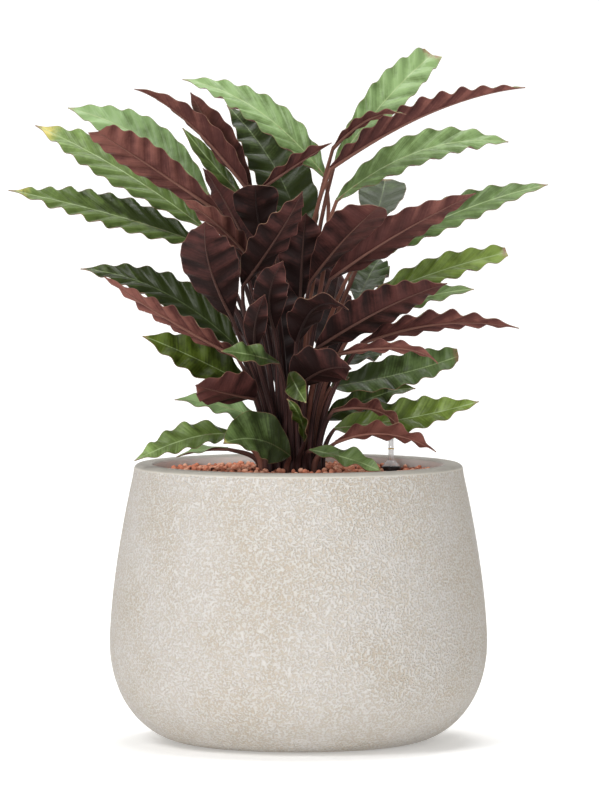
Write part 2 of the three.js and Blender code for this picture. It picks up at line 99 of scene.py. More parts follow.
class PlanterSettings(bpy.types.PropertyGroup):
    height: length("Height", "From the floor to the top of the rim", 295)
    belly_radius: length("Belly radius", "Half of the greatest width", 200)
    belly_height: length("Belly height", "Height of the greatest width", 107)
    base_radius: length("Base radius", "Radius of the flat underside", 111)
    shoulder_radius: length("Shoulder radius", "Outer radius just under the rim", 175)
    shoulder_height: length("Shoulder height", "Where the rim's rounding starts", 283)
    mouth_radius: length("Mouth radius", "Inner radius at the rim", 153.5)
    wall: length("Wall", "Thickness of the wall and the floor", 16)
    belly_roundness: number("Belly roundness", "2 is a quarter ellipse, and more is squarer", 2.1)
    shoulder_power: number("Shoulder power", "How late the wall draws in above the belly", 1.57)
    smooth_band: length("Smooth band", "Height of the smooth band under the rim's top", 4.5)
    grain: length("Grain", "Width of one raised worm of the cast grain", 1.3)
    cream: tint("Raised grain", "Cream of the raised grain", "#D4D0CA")
    sand: tint("Recessed grain", "Sandy tan in the recesses", "#C2B5A5")
    # Smooth cast: partly the rim's own greyish beige, partly painted shade that keeps the rim's top dark.
    rim: tint("Smooth cast", "Greyish beige of the smooth rim", "#A7A39A")
    band: tint("Band", "Paler smooth band just under the rim", "#CFC9BE")
    # Inside: near-white as painted light on the inner wall, which the leaves shade.
    inside: tint("Inside", "Pale skin of the inner wall", "#FAF7F2")


class GranuleSettings(bpy.types.PropertyGroup):
    bed_height: length("Bed height", "Level of the granules", 281)
    size: length("Size", "Diameter of a granule", 5.4)
    mound_rise: length("Mound", "How much higher the bed is at the stems", 5)
    mound_radius: length("Mound radius", "How far the mound reaches", 70)
    seed: bpy.props.IntProperty(name="Seed", description="Seed of the granules' places", default=5)
    clay: tint("Clay", "Fired clay of most granules", "#D98A6D")
    pale: tint("Pale clay", "Dry, dusty granules", "#EFB699")
    # Dark clay: partly brown granules, partly painted shade on the balls' undersides and the lower layers.
    dark: tint("Dark clay", "Brown granules, and the moist ones below", "#3A1E18")


class GaugeSettings(bpy.types.PropertyGroup):
    side: length("Side", "Place of the gauge right of the axis", 99)
    back: length("Back", "Place of the gauge behind the axis", 70)
    socket_top: length("Socket top", "Height of the black collar", 287.5)
    top: length("Top", "Height of the tube's end", 328)
    tube_radius: length("Tube radius", "Outer radius of the clear tube", 3.1)
    black: tint("Socket", "Black moulded socket", "#17171A")
    marker: tint("Marks", "Yellow level marks", "#D9B52E")
    red: tint("Pointer", "Red tip of the float", "#B02A1C")
    amber: tint("Pointer top", "Orange top of the tip", "#F0A020")
    rod: tint("Float", "Pale grey rod and float", "#D5D4D0")


class LeafSettings(bpy.types.PropertyGroup):
    stem_radius: length("Stem radius", "Radius of a stem at the granules", 2.6)
    collar_radius: length("Collar radius", "Radius of a stem where its blade starts", 1.9)
    sheath: number("Sheath", "How much wider a stem is at its foot", 1.3)
    thickness: length("Thickness", "Thickness of a blade", 0.6)
    fold: angle("Fold", "How far each half of a blade rises from flat", 14)
    wave_pitch: length("Wave pitch", "Length of one wave of the margin", 25)
    wave_height: length("Wave height", "Height of a wave above the middle", 3.5)
    wave_slant: number("Wave slant", "Forward lean of the waves at the margin, by width", 0.45)
    pleat_lean: number("Pleat lean", "Forward lean of the pleats, more on a slender blade", 0.75)
    bright: tint("Bright green", "Young blades", "#8CA874")
    green: tint("Green", "Most blades", "#5B7042")
    # Deep green: partly the blades' own dark colour, partly painted shade for blades deep in the clump.
    deep: tint("Deep green", "Old blades", "#27330F")
    olive: tint("Olive", "What tints blades that have turned olive", "#EDE68C")
    ripe: tint("Ripe yellow", "Yellowing tips", "#CDBD66")
    rib: tint("Rib", "Midrib on the upper face", "#9DB07C")
    margin: tint("Margin", "Thin dry edge", "#87694F")
    rose: tint("Rose", "Pale underside of a young blade", "#805148")
    maroon: tint("Maroon", "Underside of most blades", "#4E2C29")
    # Dark maroon: partly the blades' own dark colour, partly painted shade for blades deep in the clump.
    shade: tint("Dark maroon", "Underside of old blades", "#1E0F0E")
    vein: tint("Vein", "Veins on the underside", "#8A5B52")
    stem: tint("Stem", "Stem between its ribs", "#2B1716")
    stem_rib: tint("Stem rib", "Raised ribs and hairs of a stem", "#663F3A")
    # Pale stem: the paler, redder colour given to the stems in PALE_STEMS.
    pale_stem: tint("Pale stem", "Ripened skin of the stems that stand free", "#96604F")


# Forms of a blade: a broad one is widest near its collar, a blunt one has no drip tip, and a round one ends
# in an arc. A fold closes the blade like a book by those degrees. Calm waves have that share of the usual
# height.
BROAD, BLUNT, ROUND = {"broad": 1}, {"blunt": 1}, {"round": 1}

# Places in millimetres. Each row is one leaf: where its blade starts (its collar), the middle of its midrib,
# its tip, the way its green face looks, its full width, and for some its form.
LEAVES = [
    ((-104, 15, 527), (-199, -12, 559), (-304, -50, 585), (0, -1, 1), 48, BROAD),
    ((-99, 45, 541), (-188, 58, 603), (-281, 80, 651), (0, -1, 0.9), 50),
    ((-96, 85, 577), (-164, 110, 635), (-248, 140, 669), (0, -1, 0.6), 45),
    ((-81, -25, 560), (-150, -45, 607), (-209, -92, 647), (0.1, 1, 0.8), 46, BLUNT | {"calm": 0.6}),
    ((-54, -2, 586), (-118, -22, 658), (-172, -45, 691), (0.3, 0.6, 1), 36,
     BROAD | {"fold": 30, "calm": 0.4}),
    ((-49, 27, 584), (-84, 15, 636), (-114, 5, 687), (0.6, 1, 0.1), 38, {"calm": 0.5}),
    ((-57, 45, 574), (-88, 43, 607), (-123, 40, 649), (0, -1, 0.5), 19),
    ((30, 44, 595), (-43, 62, 667), (-124, 100, 700), (0.3, -1, 0.7), 41, BROAD),
    ((4, 60, 518), (-20, 95, 596), (-77, 135, 672), (0.4, -1, 0.3), 64, BROAD),
    ((-41, 2, 585), (2, -5, 614), (35, -5, 634), (-0.2, 0.6, 1), 22, {"fold": 30}),
    ((37, 16, 608), (93, 42, 679), (143, 82, 726), (-0.2, -1, 0.3), 43, BLUNT),
    ((33, -10, 607), (139, -50, 667), (236, -95, 693), (0, 0.3, 1), 34, BROAD | {"fold": 50}),
    ((36, 0, 628), (76, -52, 661), (112, -90, 665), (0, 0.6, 1), 16),
    ((40, 8, 573), (130, 27, 625), (223, 45, 634), (0, -1, 0.9), 42),
    ((78, 90, 542), (88, 145, 567), (94, 190, 591), (0, -0.5, 1), 53, ROUND | {"calm": 0.3}),
    ((12, -35, 489), (46, -80, 533), (83, -130, 570), (-0.3, 1, 0.9), 58, ROUND | {"calm": 0.4}),
    ((33, -25, 491), (104, -45, 539), (186, -50, 582), (-0.2, 1, 0.7), 46, BROAD | {"calm": 0.7}),
    ((57, 6, 503), (160, 5, 557), (263, -10, 590), (0, -1, 0.8), 39),
    ((62, 38, 463), (76, 98, 490), (88, 145, 506), (0, -0.6, 1), 44),
    ((74, 20, 466), (140, 24, 494), (221, 30, 517), (0, -1, 0.9), 35, BROAD | BLUNT),
    ((18, -40, 419), (92, -65, 463), (155, -95, 489), (-0.2, 1, 0.7), 53, BROAD | {"calm": 0.8}),
    ((65, 0, 448), (128, -15, 470), (185, -20, 480), (0, -1, 1), 27),
    ((65, -22, 423), (150, -44, 445), (231, -70, 441), (0, 0.8, 1), 34, BROAD),
    ((39, -48, 413), (107, -62, 420), (146, -70, 404), (0, 0.8, 1), 20),
    ((46, 15, 398), (68, 35, 407), (90, 60, 411), (0, -1, 1), 26),
    ((34, 0, 376), (104, -5, 389), (169, -15, 409), (0, -1, 1), 47, BROAD | BLUNT | {"calm": 0.7}),
    ((28, 25, 339), (84, 25, 365), (124, 20, 373), (0, -1, 1), 34, BROAD),
    ((38, 0, 332), (120, -10, 344), (190, -30, 362), (0, -1, 0.9), 46, BROAD),
    ((36, -30, 353), (82, -45, 354), (110, -55, 330), (0, 0.5, 1), 28),
    ((39, -35, 320), (93, -60, 330), (144, -80, 312), (0, 0.7, 1), 34),
    ((11, -45, 312), (51, -62, 304), (87, -75, 291), (0.1, -1, 1.4), 28),
    ((-9, -52, 306), (-43, -82, 325), (-78, -115, 323), (-0.2, -1, 0.6), 62, BROAD | {"calm": 0.6}),
    ((-67, -25, 326), (-112, -50, 325), (-172, -70, 302), (-0.1, -1, 1), 37, BROAD),
    ((-74, 0, 311), (-102, -5, 309), (-129, -8, 302), (0, -0.3, 1), 16),
    ((-38, -20, 342), (-88, -35, 359), (-130, -50, 365), (0, -1, 1), 27, BROAD),
    ((-46, -36, 366), (-72, -78, 373), (-107, -120, 384), (0.2, 1, 0.4), 58, BROAD | {"calm": 0.8}),
    ((-20, -62, 404), (-51, -84, 414), (-81, -92, 418), (0, -1, 0.8), 26),
    ((-52, -8, 378), (-119, -25, 412), (-164, -35, 431), (-0.1, -1, 0.8), 49, BROAD),
    ((-64, -24, 409), (-141, -56, 453), (-203, -90, 496), (0.2, 0.6, 1), 34, BROAD),
    ((-62, 0, 415), (-143, 3, 476), (-231, 20, 500), (0, -1, 1), 46, BROAD),
    ((-69, -60, 451), (-92, -120, 507), (-96, -175, 556), (0.1, 1, 0.6), 62, {"calm": 0.7}),
    ((-46, -21, 507), (-83, -55, 548), (-121, -75, 576), (0.3, 1, 0.7), 28),
    ((-36, -36, 528), (-43, -54, 560), (-45, -72, 591), (0, 1, 0.3), 50, ROUND | {"calm": 0.7}),
    ((-59, -54, 485), (-20, -100, 542), (4, -140, 586), (-0.5, 1, 0.6), 48, BROAD | {"calm": 0.8}),
    ((2, -24, 469), (4, -38, 515), (8, -50, 561), (0, 1, 0.4), 54),
    ((-25, -46, 438), (-30, -85, 477), (-16, -115, 513), (0.3, 1, 0.7), 38),
    ((-45, -58, 416), (-45, -88, 447), (-35, -112, 478), (0, 1, 0.4), 26),
    ((-2, -45, 425), (19, -90, 465), (52, -112, 462), (-0.2, 0.8, 1), 40, BROAD),
    ((-2, -50, 378), (27, -95, 399), (55, -120, 401), (-0.2, 1, 0.3), 62, BROAD | {"calm": 0.8}),
    ((-9, -78, 395), (-3, -96, 383), (8, -104, 365), (-0.5, -1, 0.3), 24),
    ((-28, 70, 465), (-70, 110, 553), (-103, 140, 604), (0.2, 1, 0.4), 56, BROAD | {"calm": 0.7}),
    ((28, 70, 407), (39, 130, 466), (47, 180, 503), (0, 1, 0.6), 64, BROAD | {"calm": 0.7}),
    ((-40, 50, 406), (-88, 105, 448), (-150, 165, 460), (0, 1, 0.8), 56, {"calm": 0.7}),
    ((-18, 45, 369), (-23, 86, 446), (-19, 138, 516), (0, 1, 0.6), 56, {"calm": 0.7}),
    ((6, -62, 322), (2, -90, 349), (-12, -104, 369), (-0.6, -1, 0.3), 18),
]

# How light each leaf is on the face that shows, from 0 for deep to 1 for pale, in the order of the rows.
# Partly each leaf's own colour and partly painted shade: leaves deep in the clump and at its back get low
# tones.
TONES = (0.52, 0.6, 0.85, 0.68, 0.62, 0.5, 0.3, 0.85, 0.04, 0.5, 0.84, 0.6, 0.55, 0.71, 0, 0.32, 0.52, 0.52,
         0.16, 0.74, 0.3, 0.54, 0.56, 0.75, 0, 0.32, 0.26, 0.63, 0.75, 1, 0.54, 0.22, 0.61, 0.9, 1, 0.42,
         0.32, 0.26, 0.77, 0, 0.19, 0.65, 0, 0.18, 0.13, 0.06, 0.04, 0, 0.1, 0.15, 0.32, 0.1, 0.15, 0.1, 0.1)

# How far a leaf has turned from a bluish to an olive green, from 0 to 1, by leaf.
USUAL_OLIVE = 0.25
OLIVES = {1: 0.5, 2: 0.45, 3: 0.1, 7: 0.5, 8: 0.15, 11: 0.15, 14: 0.2, 15: 0.0, 18: 0.15, 19: 0.0, 20: 0.85,
          26: 0.1, 27: 0.5, 28: 0.85, 33: 0.55, 35: 0.1, 38: 1.0, 40: 0.6, 50: 0.7, 55: 0.6}

# Leaves whose one half lies in shade near the collar, and how deep. The sign tells the half.
SHADED_HALVES = {1: 0.5, 26: -0.2, 40: 0.2}

# Share of the blade at its tip that has turned yellow.
USUAL_RIPE = 0.01
RIPE_TIPS = {1: 0.12, 2: 0.14, 32: 0.08, 38: 0.06}

# Stems that stand free and are paler and redder, and how far.
PALE_STEMS = {8: 0.5, 11: 0.35, 12: 0.6, 13: 0.4, 14: 0.8, 15: 0.4, 18: 0.7, 22: 0.4, 26: 0.4, 30: 0.3,
              32: 0.3, 33: 0.7, 34: 0.2, 35: 0.2}

# The clump of stems, in millimetres: its middle, how far its feet reach, and how far apart they stand. A stem
# that leans by FULL_LEAN, sideways over upwards, has its foot at the clump's edge.
CLUMP = (-8.0, 0.0)
CLUMP_REACH = 33.0
FOOT_SPACING = 7.6
FOOT_ROUNDS = 300
FULL_LEAN = 0.7
BED_LEVEL = 281.0
FOOT_BOTTOM = BED_LEVEL - 22
FOOT_TOP = BED_LEVEL + 9

# A stem's curve: its upright rise from the foot, and how early and how far it turns into the blade.
STEM_RISE = 0.4
STEM_BEND = 0.3
STEM_TURN = 0.5
STEM_STEPS = 10

# A midrib hangs under its blade by this share of its radius, and narrows to its tip.
RIB_SINK = 0.75
RIB_TIP = 0.3

# Blades, in millimetres: the width from which waves have their full height, what is taken off the width so
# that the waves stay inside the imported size, and half the width at the very tip.
WAVE_FULL_WIDTH = 24.0
BLADE_TRIM = 0.3
TIP_HALF_WIDTH = 0.9
POINTS_PER_SWING = 6
POINTS_ACROSS = 16

# A blade's outline is a sine over its length. The powers set where it is widest and how full it is. A blunt
# or a round one uses only that share of the sine, and a round one ends in an arc from ARC_START on.
BROAD_POWER, USUAL_POWER, FULLNESS = 0.72, 0.92, 0.85
ROUND_SHARE, BLUNT_SHARE, ARC_START = 0.72, 0.82, 0.68

# Where a drip tip starts, and the share by which it narrows the blade.
DRIP_START, DRIP_NARROWING = 0.93, 0.35

# Powers by which a blade's halves and its waves rise from the midrib, the lowest wave and what chance adds to
# it, as shares of the usual height, and the length over width from which pleats lean.
FOLD_POWER, WAVE_POWER = 1.12, 0.9
LOWEST_WAVE, WAVE_CHANCE = 0.7, 0.6
PLEAT_SLENDER = 3

# A blade is darker at its collar than at its tip by TONE_RISE, as painted shade low in the clump, and as
# TONES says at TONE_PLACE. Its tip is dry from DRY_START on. Each blade's flat map lies MAP_STEP on from the
# last one's, and half the way round a stem counts as STEM_GIRTH on its map, both in metres.
TONE_RISE, TONE_PLACE = 0.45, 0.6
DRY_START, DRY_LENGTH = 0.955, 0.03
MAP_STEP = 0.3
STEM_GIRTH = 9 * MM

# The planter's rim, in metres: how far its side and its top corner stand in from the shoulder, how far below
# the top the side ends, how round the corners are, and how far the mouth and the inside's top are below the
# shoulder's height. Then the rings of each part of the wall, and the steps round it.
RIM_SIDE_IN, RIM_TOP_IN, RIM_SIDE, RIM_CORNER, MOUTH_DEPTH = 1.2 * MM, 5 * MM, 3 * MM, 3.5 * MM, 8 * MM
INSIDE_TOP = 12 * MM
WALL_RINGS = 24
WALL_TURNS = 160

# The bed under the loose balls, near-black as painted shade in the gaps between them: its gaps to the wall
# and the floor, its corner and its depth below the granules' level, in metres.
BED_WALL_GAP, BED_FLOOR_GAP, BED_CORNER, BED_DEPTH = 0.8 * MM, 0.4 * MM, 12 * MM, 3 * MM
BED_RINGS = 12

# Heights of the gauge's yellow marks, in metres.
MARK_HEIGHTS = (305.5 * MM, 317 * MM)

# Each layer of clay balls, from below: its pitch and its level over the bed, both in ball diameters, how
# often its ball is subdivided, and the shade of its palest ball. The lower layers are kept dark as painted
# shade in the gaps between the top balls.
BALL_LAYERS = ((1.1, -0.4, 1, 0.03), (1.6, 0.15, 2, 0.14), (2.0, 0.75, 2, 1.0))
BALL_SIZES = (0.8, 1.18)
BALL_STRETCH = (0.85, 1.15)
BALL_LUMP = 0.06
BALL_LUMP_WAVES = (3.1, 4.3, 2.7)
BALL_LUMP_SHIFT = 6.3
BALL_JITTER = 0.28
BALL_LIFT = 0.25
ROW_HEIGHT = 0.866

# The room kept free round the gauge and each stem, and the dip of the bed in front of the gauge, in metres.
GAUGE_ROOM = 13 * MM
STEM_ROOM = 5.4 * MM
DIP_DEPTH = 5 * MM
DIP_WIDTH = 14 * MM

# The studio paper, in metres: half its width, its front edge, its foot at the back, its height and its bend.
PAPER_HALF_WIDTH, PAPER_FRONT, PAPER_BACK, PAPER_HEIGHT, PAPER_BEND = 6.0, -5.0, 3.0, 6.0, 2.0

# Each light's name, place and size in metres, and its power in watts.
LIGHTS = (
    ("key_softbox", (-1.6, -2.2, 2.4), 1.4, 50),
    ("fill_softbox", (2.4, -2.6, 1.2), 2.4, 12),
    ("low_softbox", (-0.6, -3.4, 0.5), 0.5, 36),
    ("top_softbox", (0.1, 0.3, 2.6), 1.6, 42),
)
LIGHTS_AIM = (0, 0, 0.4)
ROOM_LIGHT = 0.27
PAPER_GLOW = 0.25


# Modelling helpers


def deselect():
    if bpy.context.object and bpy.context.object.mode != "OBJECT":
        bpy.ops.object.mode_set(mode="OBJECT")
    bpy.ops.object.select_all(action="DESELECT")


def choose(*objects):
    deselect()
    for one in objects:
        one.select_set(True)
    bpy.context.view_layer.objects.active = objects[0]


def apply_modifiers(piece):
    choose(piece)
    for modifier in list(piece.modifiers):
        bpy.ops.object.modifier_apply(modifier=modifier.name)


def joined(name, pieces):
    choose(*pieces)
    if len(pieces) > 1:
        bpy.ops.object.join()
    piece = bpy.context.object
    piece.name = name
    piece.data.name = name
    return piece


def smooth(piece, degrees):
    choose(piece)
    bpy.ops.object.shade_smooth_by_angle(angle=math.radians(degrees))


def shown(piece, slot, *nodes):
    """The finished piece stands for its CAD nodes and moves with the object's one body."""
    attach(piece, "root")
    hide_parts(*nodes)


def turned(name, profile, steps, place=(0.0, 0.0)):
    """A closed body spun round an upright axis from (radius, height) points."""
    deselect()
    bpy.ops.mesh.primitive_plane_add(size=0.01)
    piece = bpy.context.object
    bpy.ops.object.mode_set(mode="EDIT")
    bpy.ops.mesh.select_mode(type="VERT")
    bpy.ops.mesh.select_all(action="SELECT")
    bpy.ops.mesh.merge(type="CENTER")
    bpy.ops.transform.translate(value=(profile[0][0], 0, profile[0][1]))
    for (r0, z0), (r1, z1) in zip(profile, profile[1:]):
        bpy.ops.mesh.extrude_region_move(TRANSFORM_OT_translate={"value": (r1 - r0, 0, z1 - z0)})
    bpy.ops.mesh.select_all(action="SELECT")
    bpy.ops.mesh.spin(steps=steps, angle=2 * math.pi, center=(0, 0, 0), axis=(0, 0, 1))
    bpy.ops.mesh.select_all(action="SELECT")
    bpy.ops.mesh.remove_doubles(threshold=0.00001)
    bpy.ops.mesh.normals_make_consistent(inside=False)
    bpy.ops.transform.translate(value=(place[0], place[1], 0))
    bpy.ops.object.mode_set(mode="OBJECT")
    piece.name = name
    return piece


def rounded(points, corner, steps=5):
    """The same profile with its inner corners cut by small arcs."""
    out = [points[0]]
    for before, here, after in zip(points, points[1:], points[2:]):
        a, b, c = (Vector(p) for p in (before, here, after))
        reach = min(corner, 0.45 * (a - b).length, 0.45 * (c - b).length)
        start = b + (a - b).normalized() * reach
        end = b + (c - b).normalized() * reach
        for k in range(steps + 1):
            t = k / steps
            point = start * (1 - t) ** 2 + b * 2 * t * (1 - t) + end * t ** 2
            out.append(tuple(point))
    out.append(points[-1])
    return out


def note(mesh, name, values):
    """Keeps a number for each point of a mesh, for its finish to read."""
    layer = mesh.attributes.new(name, "FLOAT", "POINT")
    layer.data.foreach_set("value", np.asarray(values, np.float32))


def flatten(mesh, flat):
    """Gives each corner of the mesh's faces the place of its point on the flat map."""
    layer = mesh.uv_layers.active or mesh.uv_layers.new()
    layer.name = "UVMap"
    index = np.array([loop.vertex_index for loop in mesh.loops])
    layer.data.foreach_set("uv", flat[index].astype(np.float32).ravel())


# Material helpers


def fed(tree, node, inputs):
    """Sets each input of the node, named or numbered, to a value or links it to another node's output."""
    for socket, value in inputs.items():
        if isinstance(value, bpy.types.NodeSocket):
            tree.links.new(value, node.inputs[socket])
        else:
            node.inputs[socket].default_value = value
    return node


def add(tree, kind, inputs=None, **settings):
    node = tree.nodes.new(kind)
    for name, value in settings.items():
        setattr(node, name, value)
    return fed(tree, node, inputs or {})


def new_material(name):
    material = bpy.data.materials.new(name)
    material.use_nodes = True
    tree = material.node_tree
    tree.nodes.clear()
    output = add(tree, "ShaderNodeOutputMaterial")
    shader = add(tree, "ShaderNodeBsdfPrincipled")
    tree.links.new(shader.outputs["BSDF"], output.inputs["Surface"])
    return material, tree, shader


def own_place(tree):
    return add(tree, "ShaderNodeTexCoord").outputs["Object"]


def attribute(tree, name):
    return add(tree, "ShaderNodeAttribute", attribute_name=name).outputs["Fac"]


def mixed(tree, factor, first, second, blend="MIX"):
    node = add(tree, "ShaderNodeMix", {0: factor, 6: first, 7: second}, data_type="RGBA", blend_type=blend,
               clamp_factor=True)
    return node.outputs[2]


def reckon(tree, operation, *values):
    return add(tree, "ShaderNodeMath", dict(enumerate(values)), operation=operation).outputs[0]


def summed(tree, total, *parts):
    """The total and each part times its weight."""
    for part, weight in parts:
        total = reckon(tree, "MULTIPLY_ADD", part, weight, total)
    return total


def ranged(tree, value, low, high, to_low=0.0, to_high=1.0):
    inputs = {"Value": value, "From Min": low, "From Max": high, "To Min": to_low, "To Max": to_high}
    return add(tree, "ShaderNodeMapRange", inputs, interpolation_type="SMOOTHSTEP").outputs["Result"]


def noise(tree, where, size, detail=2.0, roughness=0.5, distortion=0.0):
    """Noise whose blots are about as wide as size, in metres."""
    inputs = {"Vector": where, "Scale": 0.5 / size, "Detail": detail, "Roughness": roughness,
              "Distortion": distortion}
    return add(tree, "ShaderNodeTexNoise", inputs).outputs["Fac"]


def bumped(tree, shader, height, depth):
    bump = add(tree, "ShaderNodeBump", {"Height": height, "Distance": depth, "Strength": 1.0})
    fed(tree, shader, {"Normal": bump.outputs["Normal"]})


# Stage


class CALATHEA_OT_stage(bpy.types.Operator):
    """Adds the pale studio sweep, the soft lights and the camera"""

    bl_idname = "calathea.stage"
    bl_label = "Stage"

    def execute(self, context):
        settings = context.scene.calathea_stage
        self.sweep(settings)
        self.lights(context)
        self.camera(context, settings)
        return {"FINISHED"}

    def sweep(self, settings):
        """A floor that turns up into a wall far behind, so that no horizon shows."""
        deselect()
        bpy.ops.mesh.primitive_plane_add(size=1)
        paper = bpy.context.object
        paper.name = "studio_paper"
        for vertex in paper.data.vertices:
            x, y, _ = vertex.co
            vertex.co = (math.copysign(PAPER_HALF_WIDTH, x), PAPER_BACK if y > 0 else PAPER_FRONT, 0)
        bpy.ops.object.mode_set(mode="EDIT")
        bpy.ops.mesh.select_mode(type="EDGE")
        bpy.ops.mesh.select_all(action="DESELECT")
        bpy.ops.object.mode_set(mode="OBJECT")
        for edge in paper.data.edges:
            edge.select = all(paper.data.vertices[v].co.y > 0 for v in edge.vertices)
        bpy.ops.object.mode_set(mode="EDIT")
        bpy.ops.mesh.extrude_region_move(TRANSFORM_OT_translate={"value": (0, 0, PAPER_HEIGHT)})
        bpy.ops.object.mode_set(mode="OBJECT")
        bend = paper.modifiers.new("sweep", "BEVEL")
        bend.width = PAPER_BEND
        bend.segments = 24
        apply_modifiers(paper)
        smooth(paper, 60)
        paper.data.materials.append(self.matt_paper(settings))

    def matt_paper(self, settings):
        """Matt paper, clear from its back, so that it hides nothing from a camera behind it."""
        material, tree, shader = new_material("matt_studio_paper")
        fed(tree, shader, {"Base Color": settings.floor, "Roughness": 0.9, "Specular IOR Level": 0.1,
                           "Emission Color": settings.floor, "Emission Strength": PAPER_GLOW})
        behind = add(tree, "ShaderNodeNewGeometry").outputs["Backfacing"]
        clear = add(tree, "ShaderNodeBsdfTransparent").outputs["BSDF"]
        sheet = add(tree, "ShaderNodeMixShader", {0: behind, 1: shader.outputs["BSDF"], 2: clear})
        fed(tree, tree.nodes["Material Output"], {"Surface": sheet.outputs["Shader"]})
        return material

    def lights(self, context):
        world = bpy.data.worlds.new("studio_room")
        world.use_nodes = True
        fed(world.node_tree, world.node_tree.nodes["Background"],
            {"Color": linear("#FFFFFF"), "Strength": ROOM_LIGHT})
        context.scene.world = world
        context.scene.view_settings.view_transform = "Standard"
        for name, place, size, power in LIGHTS:
            light = bpy.data.lights.new(name, "AREA")
            light.size = size
            light.energy = power
            lamp = bpy.data.objects.new(name, light)
            context.collection.objects.link(lamp)
            lamp.location = place
            lamp.visible_camera = False
            lamp.rotation_euler = (Vector(LIGHTS_AIM) - lamp.location).to_track_quat("-Z", "Y").to_euler()

    def camera(self, context, settings):
        data = bpy.data.cameras.new("studio_camera")
        data.sensor_fit = "VERTICAL"
        data.sensor_height = 24.0
        data.lens = data.sensor_height * settings.distance / settings.view_height
        data.clip_end = 50
        camera = bpy.data.objects.new("studio_camera", data)
        context.collection.objects.link(camera)
        aim = Vector((settings.aim_side, 0, settings.aim_height))
        back = Vector((0, -math.cos(settings.elevation), math.sin(settings.elevation)))
        camera.location = aim + back * settings.distance
        camera.rotation_euler = (-back).to_track_quat("-Z", "Y").to_euler()
        context.scene.camera = camera


# Planter


def cast_stone(settings):
    """Fibre-filled cast stone, sponged while wet: cream worms of grain stand up from sandy recesses."""
    material, tree, shader = new_material("sponged_cast_stone")
    where = own_place(tree)
    swirl = noise(tree, where, 0.8 * settings.grain, 0.0, 0.5, 0.5)
    fine = noise(tree, where, 0.35 * settings.grain, 2.0, 0.6)
    cloud = noise(tree, where, 40 * MM, 3.0, 0.6)
    worm = ranged(tree, swirl, 0.3, 0.7)
    grain = summed(tree, 0.0, (worm, 0.7), (fine, 0.5))
    patches = ranged(tree, cloud, 0.35, 0.65)
    sandy = mixed(tree, patches, settings.sand, linear("#CAC1B6"))
    creamy = mixed(tree, patches, settings.cream, linear("#D7D3CF"))
    colour = mixed(tree, ranged(tree, grain, 0.15, 0.95), sandy, creamy)
    fed(tree, shader, {"Base Color": colour, "Roughness": 0.88, "IOR": 1.5, "Specular IOR Level": 0.25})
    bumped(tree, shader, grain, 1.8 * MM)
    return material


def smooth_cast(settings):
    """The rim and the inside of the casting, rubbed smooth, with only a faint mottle. The rim's top is
    darkened as painted shade, and the inner wall is lightened to near-white as painted light.
    """
    material, tree, shader = new_material("rubbed_cast_stone")
    where = own_place(tree)
    mottle = noise(tree, where, 12 * MM, 4.0, 0.6)
    pits = noise(tree, where, 1.2 * MM, 2.0, 0.5)
    colour = mixed(tree, ranged(tree, mottle, 0.35, 0.7), settings.rim, linear("#A09B91"))
    top, mouth = settings.height, settings.mouth_radius
    height = add(tree, "ShaderNodeSeparateXYZ", {"Vector": where}).outputs["Z"]
    flat = add(tree, "ShaderNodeVectorMath", {0: where, 1: (1, 1, 0)}, operation="MULTIPLY").outputs[0]
    radius = add(tree, "ShaderNodeVectorMath", {0: flat}, operation="LENGTH").outputs["Value"]
    # Painted shade on the rim's top: its dark colour holds on the top 2 mm, and the paler band starts below.
    colour = mixed(tree, ranged(tree, height, top - 2 * MM, top - 4.5 * MM), colour, settings.band)
    # Painted light: the inner wall below the mouth turns near-white.
    below = ranged(tree, height, top, top - 4 * MM)
    inward = ranged(tree, radius, mouth + 5 * MM, mouth + 3 * MM)
    colour = mixed(tree, reckon(tree, "MULTIPLY", below, inward), colour, settings.inside)
    fed(tree, shader, {"Base Color": colour, "Roughness": 0.7, "Specular IOR Level": 0.3})
    bumped(tree, shader, pits, 0.12 * MM)
    return material


class CALATHEA_OT_planter(bpy.types.Operator):
    """Models the round planter: a spun wall with a rounded rim, grained outside and smooth inside"""

    bl_idname = "calathea.planter"
    bl_label = "Planter"

    def execute(self, context):
        settings = context.scene.calathea_planter
        piece = turned("grained_planter", self.profile(settings), WALL_TURNS)
        piece.data.materials.append(cast_stone(settings))
        piece.data.materials.append(smooth_cast(settings))
        self.assign(piece, settings)
        smooth(piece, 50)
        shown(piece, "planter", "planter")
        return {"FINISHED"}

    def profile(self, settings):
        """From the middle of the underside, up the outside, over the rim and down the inside."""
        belly, brim = settings.belly_height, settings.shoulder_height
        shoulder, mouth, top = settings.shoulder_radius, settings.mouth_radius, settings.height
        shares = [k / WALL_RINGS for k in range(WALL_RINGS + 1)]
        heights = [belly * (1 - math.cos(math.pi / 2 * share)) for share in shares[1:]]
        heights += [belly + (brim - belly) * share for share in shares[1:]]
        outside = [(0.0, 0.0), (settings.base_radius, 0.0)]
        outside += [(outer_radius(settings, height), height) for height in heights]
        rim = rounded([outside[-1], (shoulder - RIM_SIDE_IN, top - RIM_SIDE), (shoulder - RIM_TOP_IN, top),
                       (mouth, top), (mouth, brim - MOUTH_DEPTH)], RIM_CORNER)
        high = brim - INSIDE_TOP
        depths = [high - (high - settings.wall) * share for share in shares]
        inside = [(inner_radius(settings, height), height) for height in depths]
        return outside[:-1] + rim + inside + [(0.0, settings.wall)]

    def assign(self, piece, settings):
        """Grain stops at the smooth band under the rim, and the inside has none."""
        limit = settings.height - settings.smooth_band
        for face in piece.data.polygons:
            middle = face.center
            radius = math.hypot(middle.x, middle.y)
            outside = radius > inner_radius(settings, middle.z) + 0.6 * settings.wall
            face.material_index = 0 if outside and middle.z < limit else 1


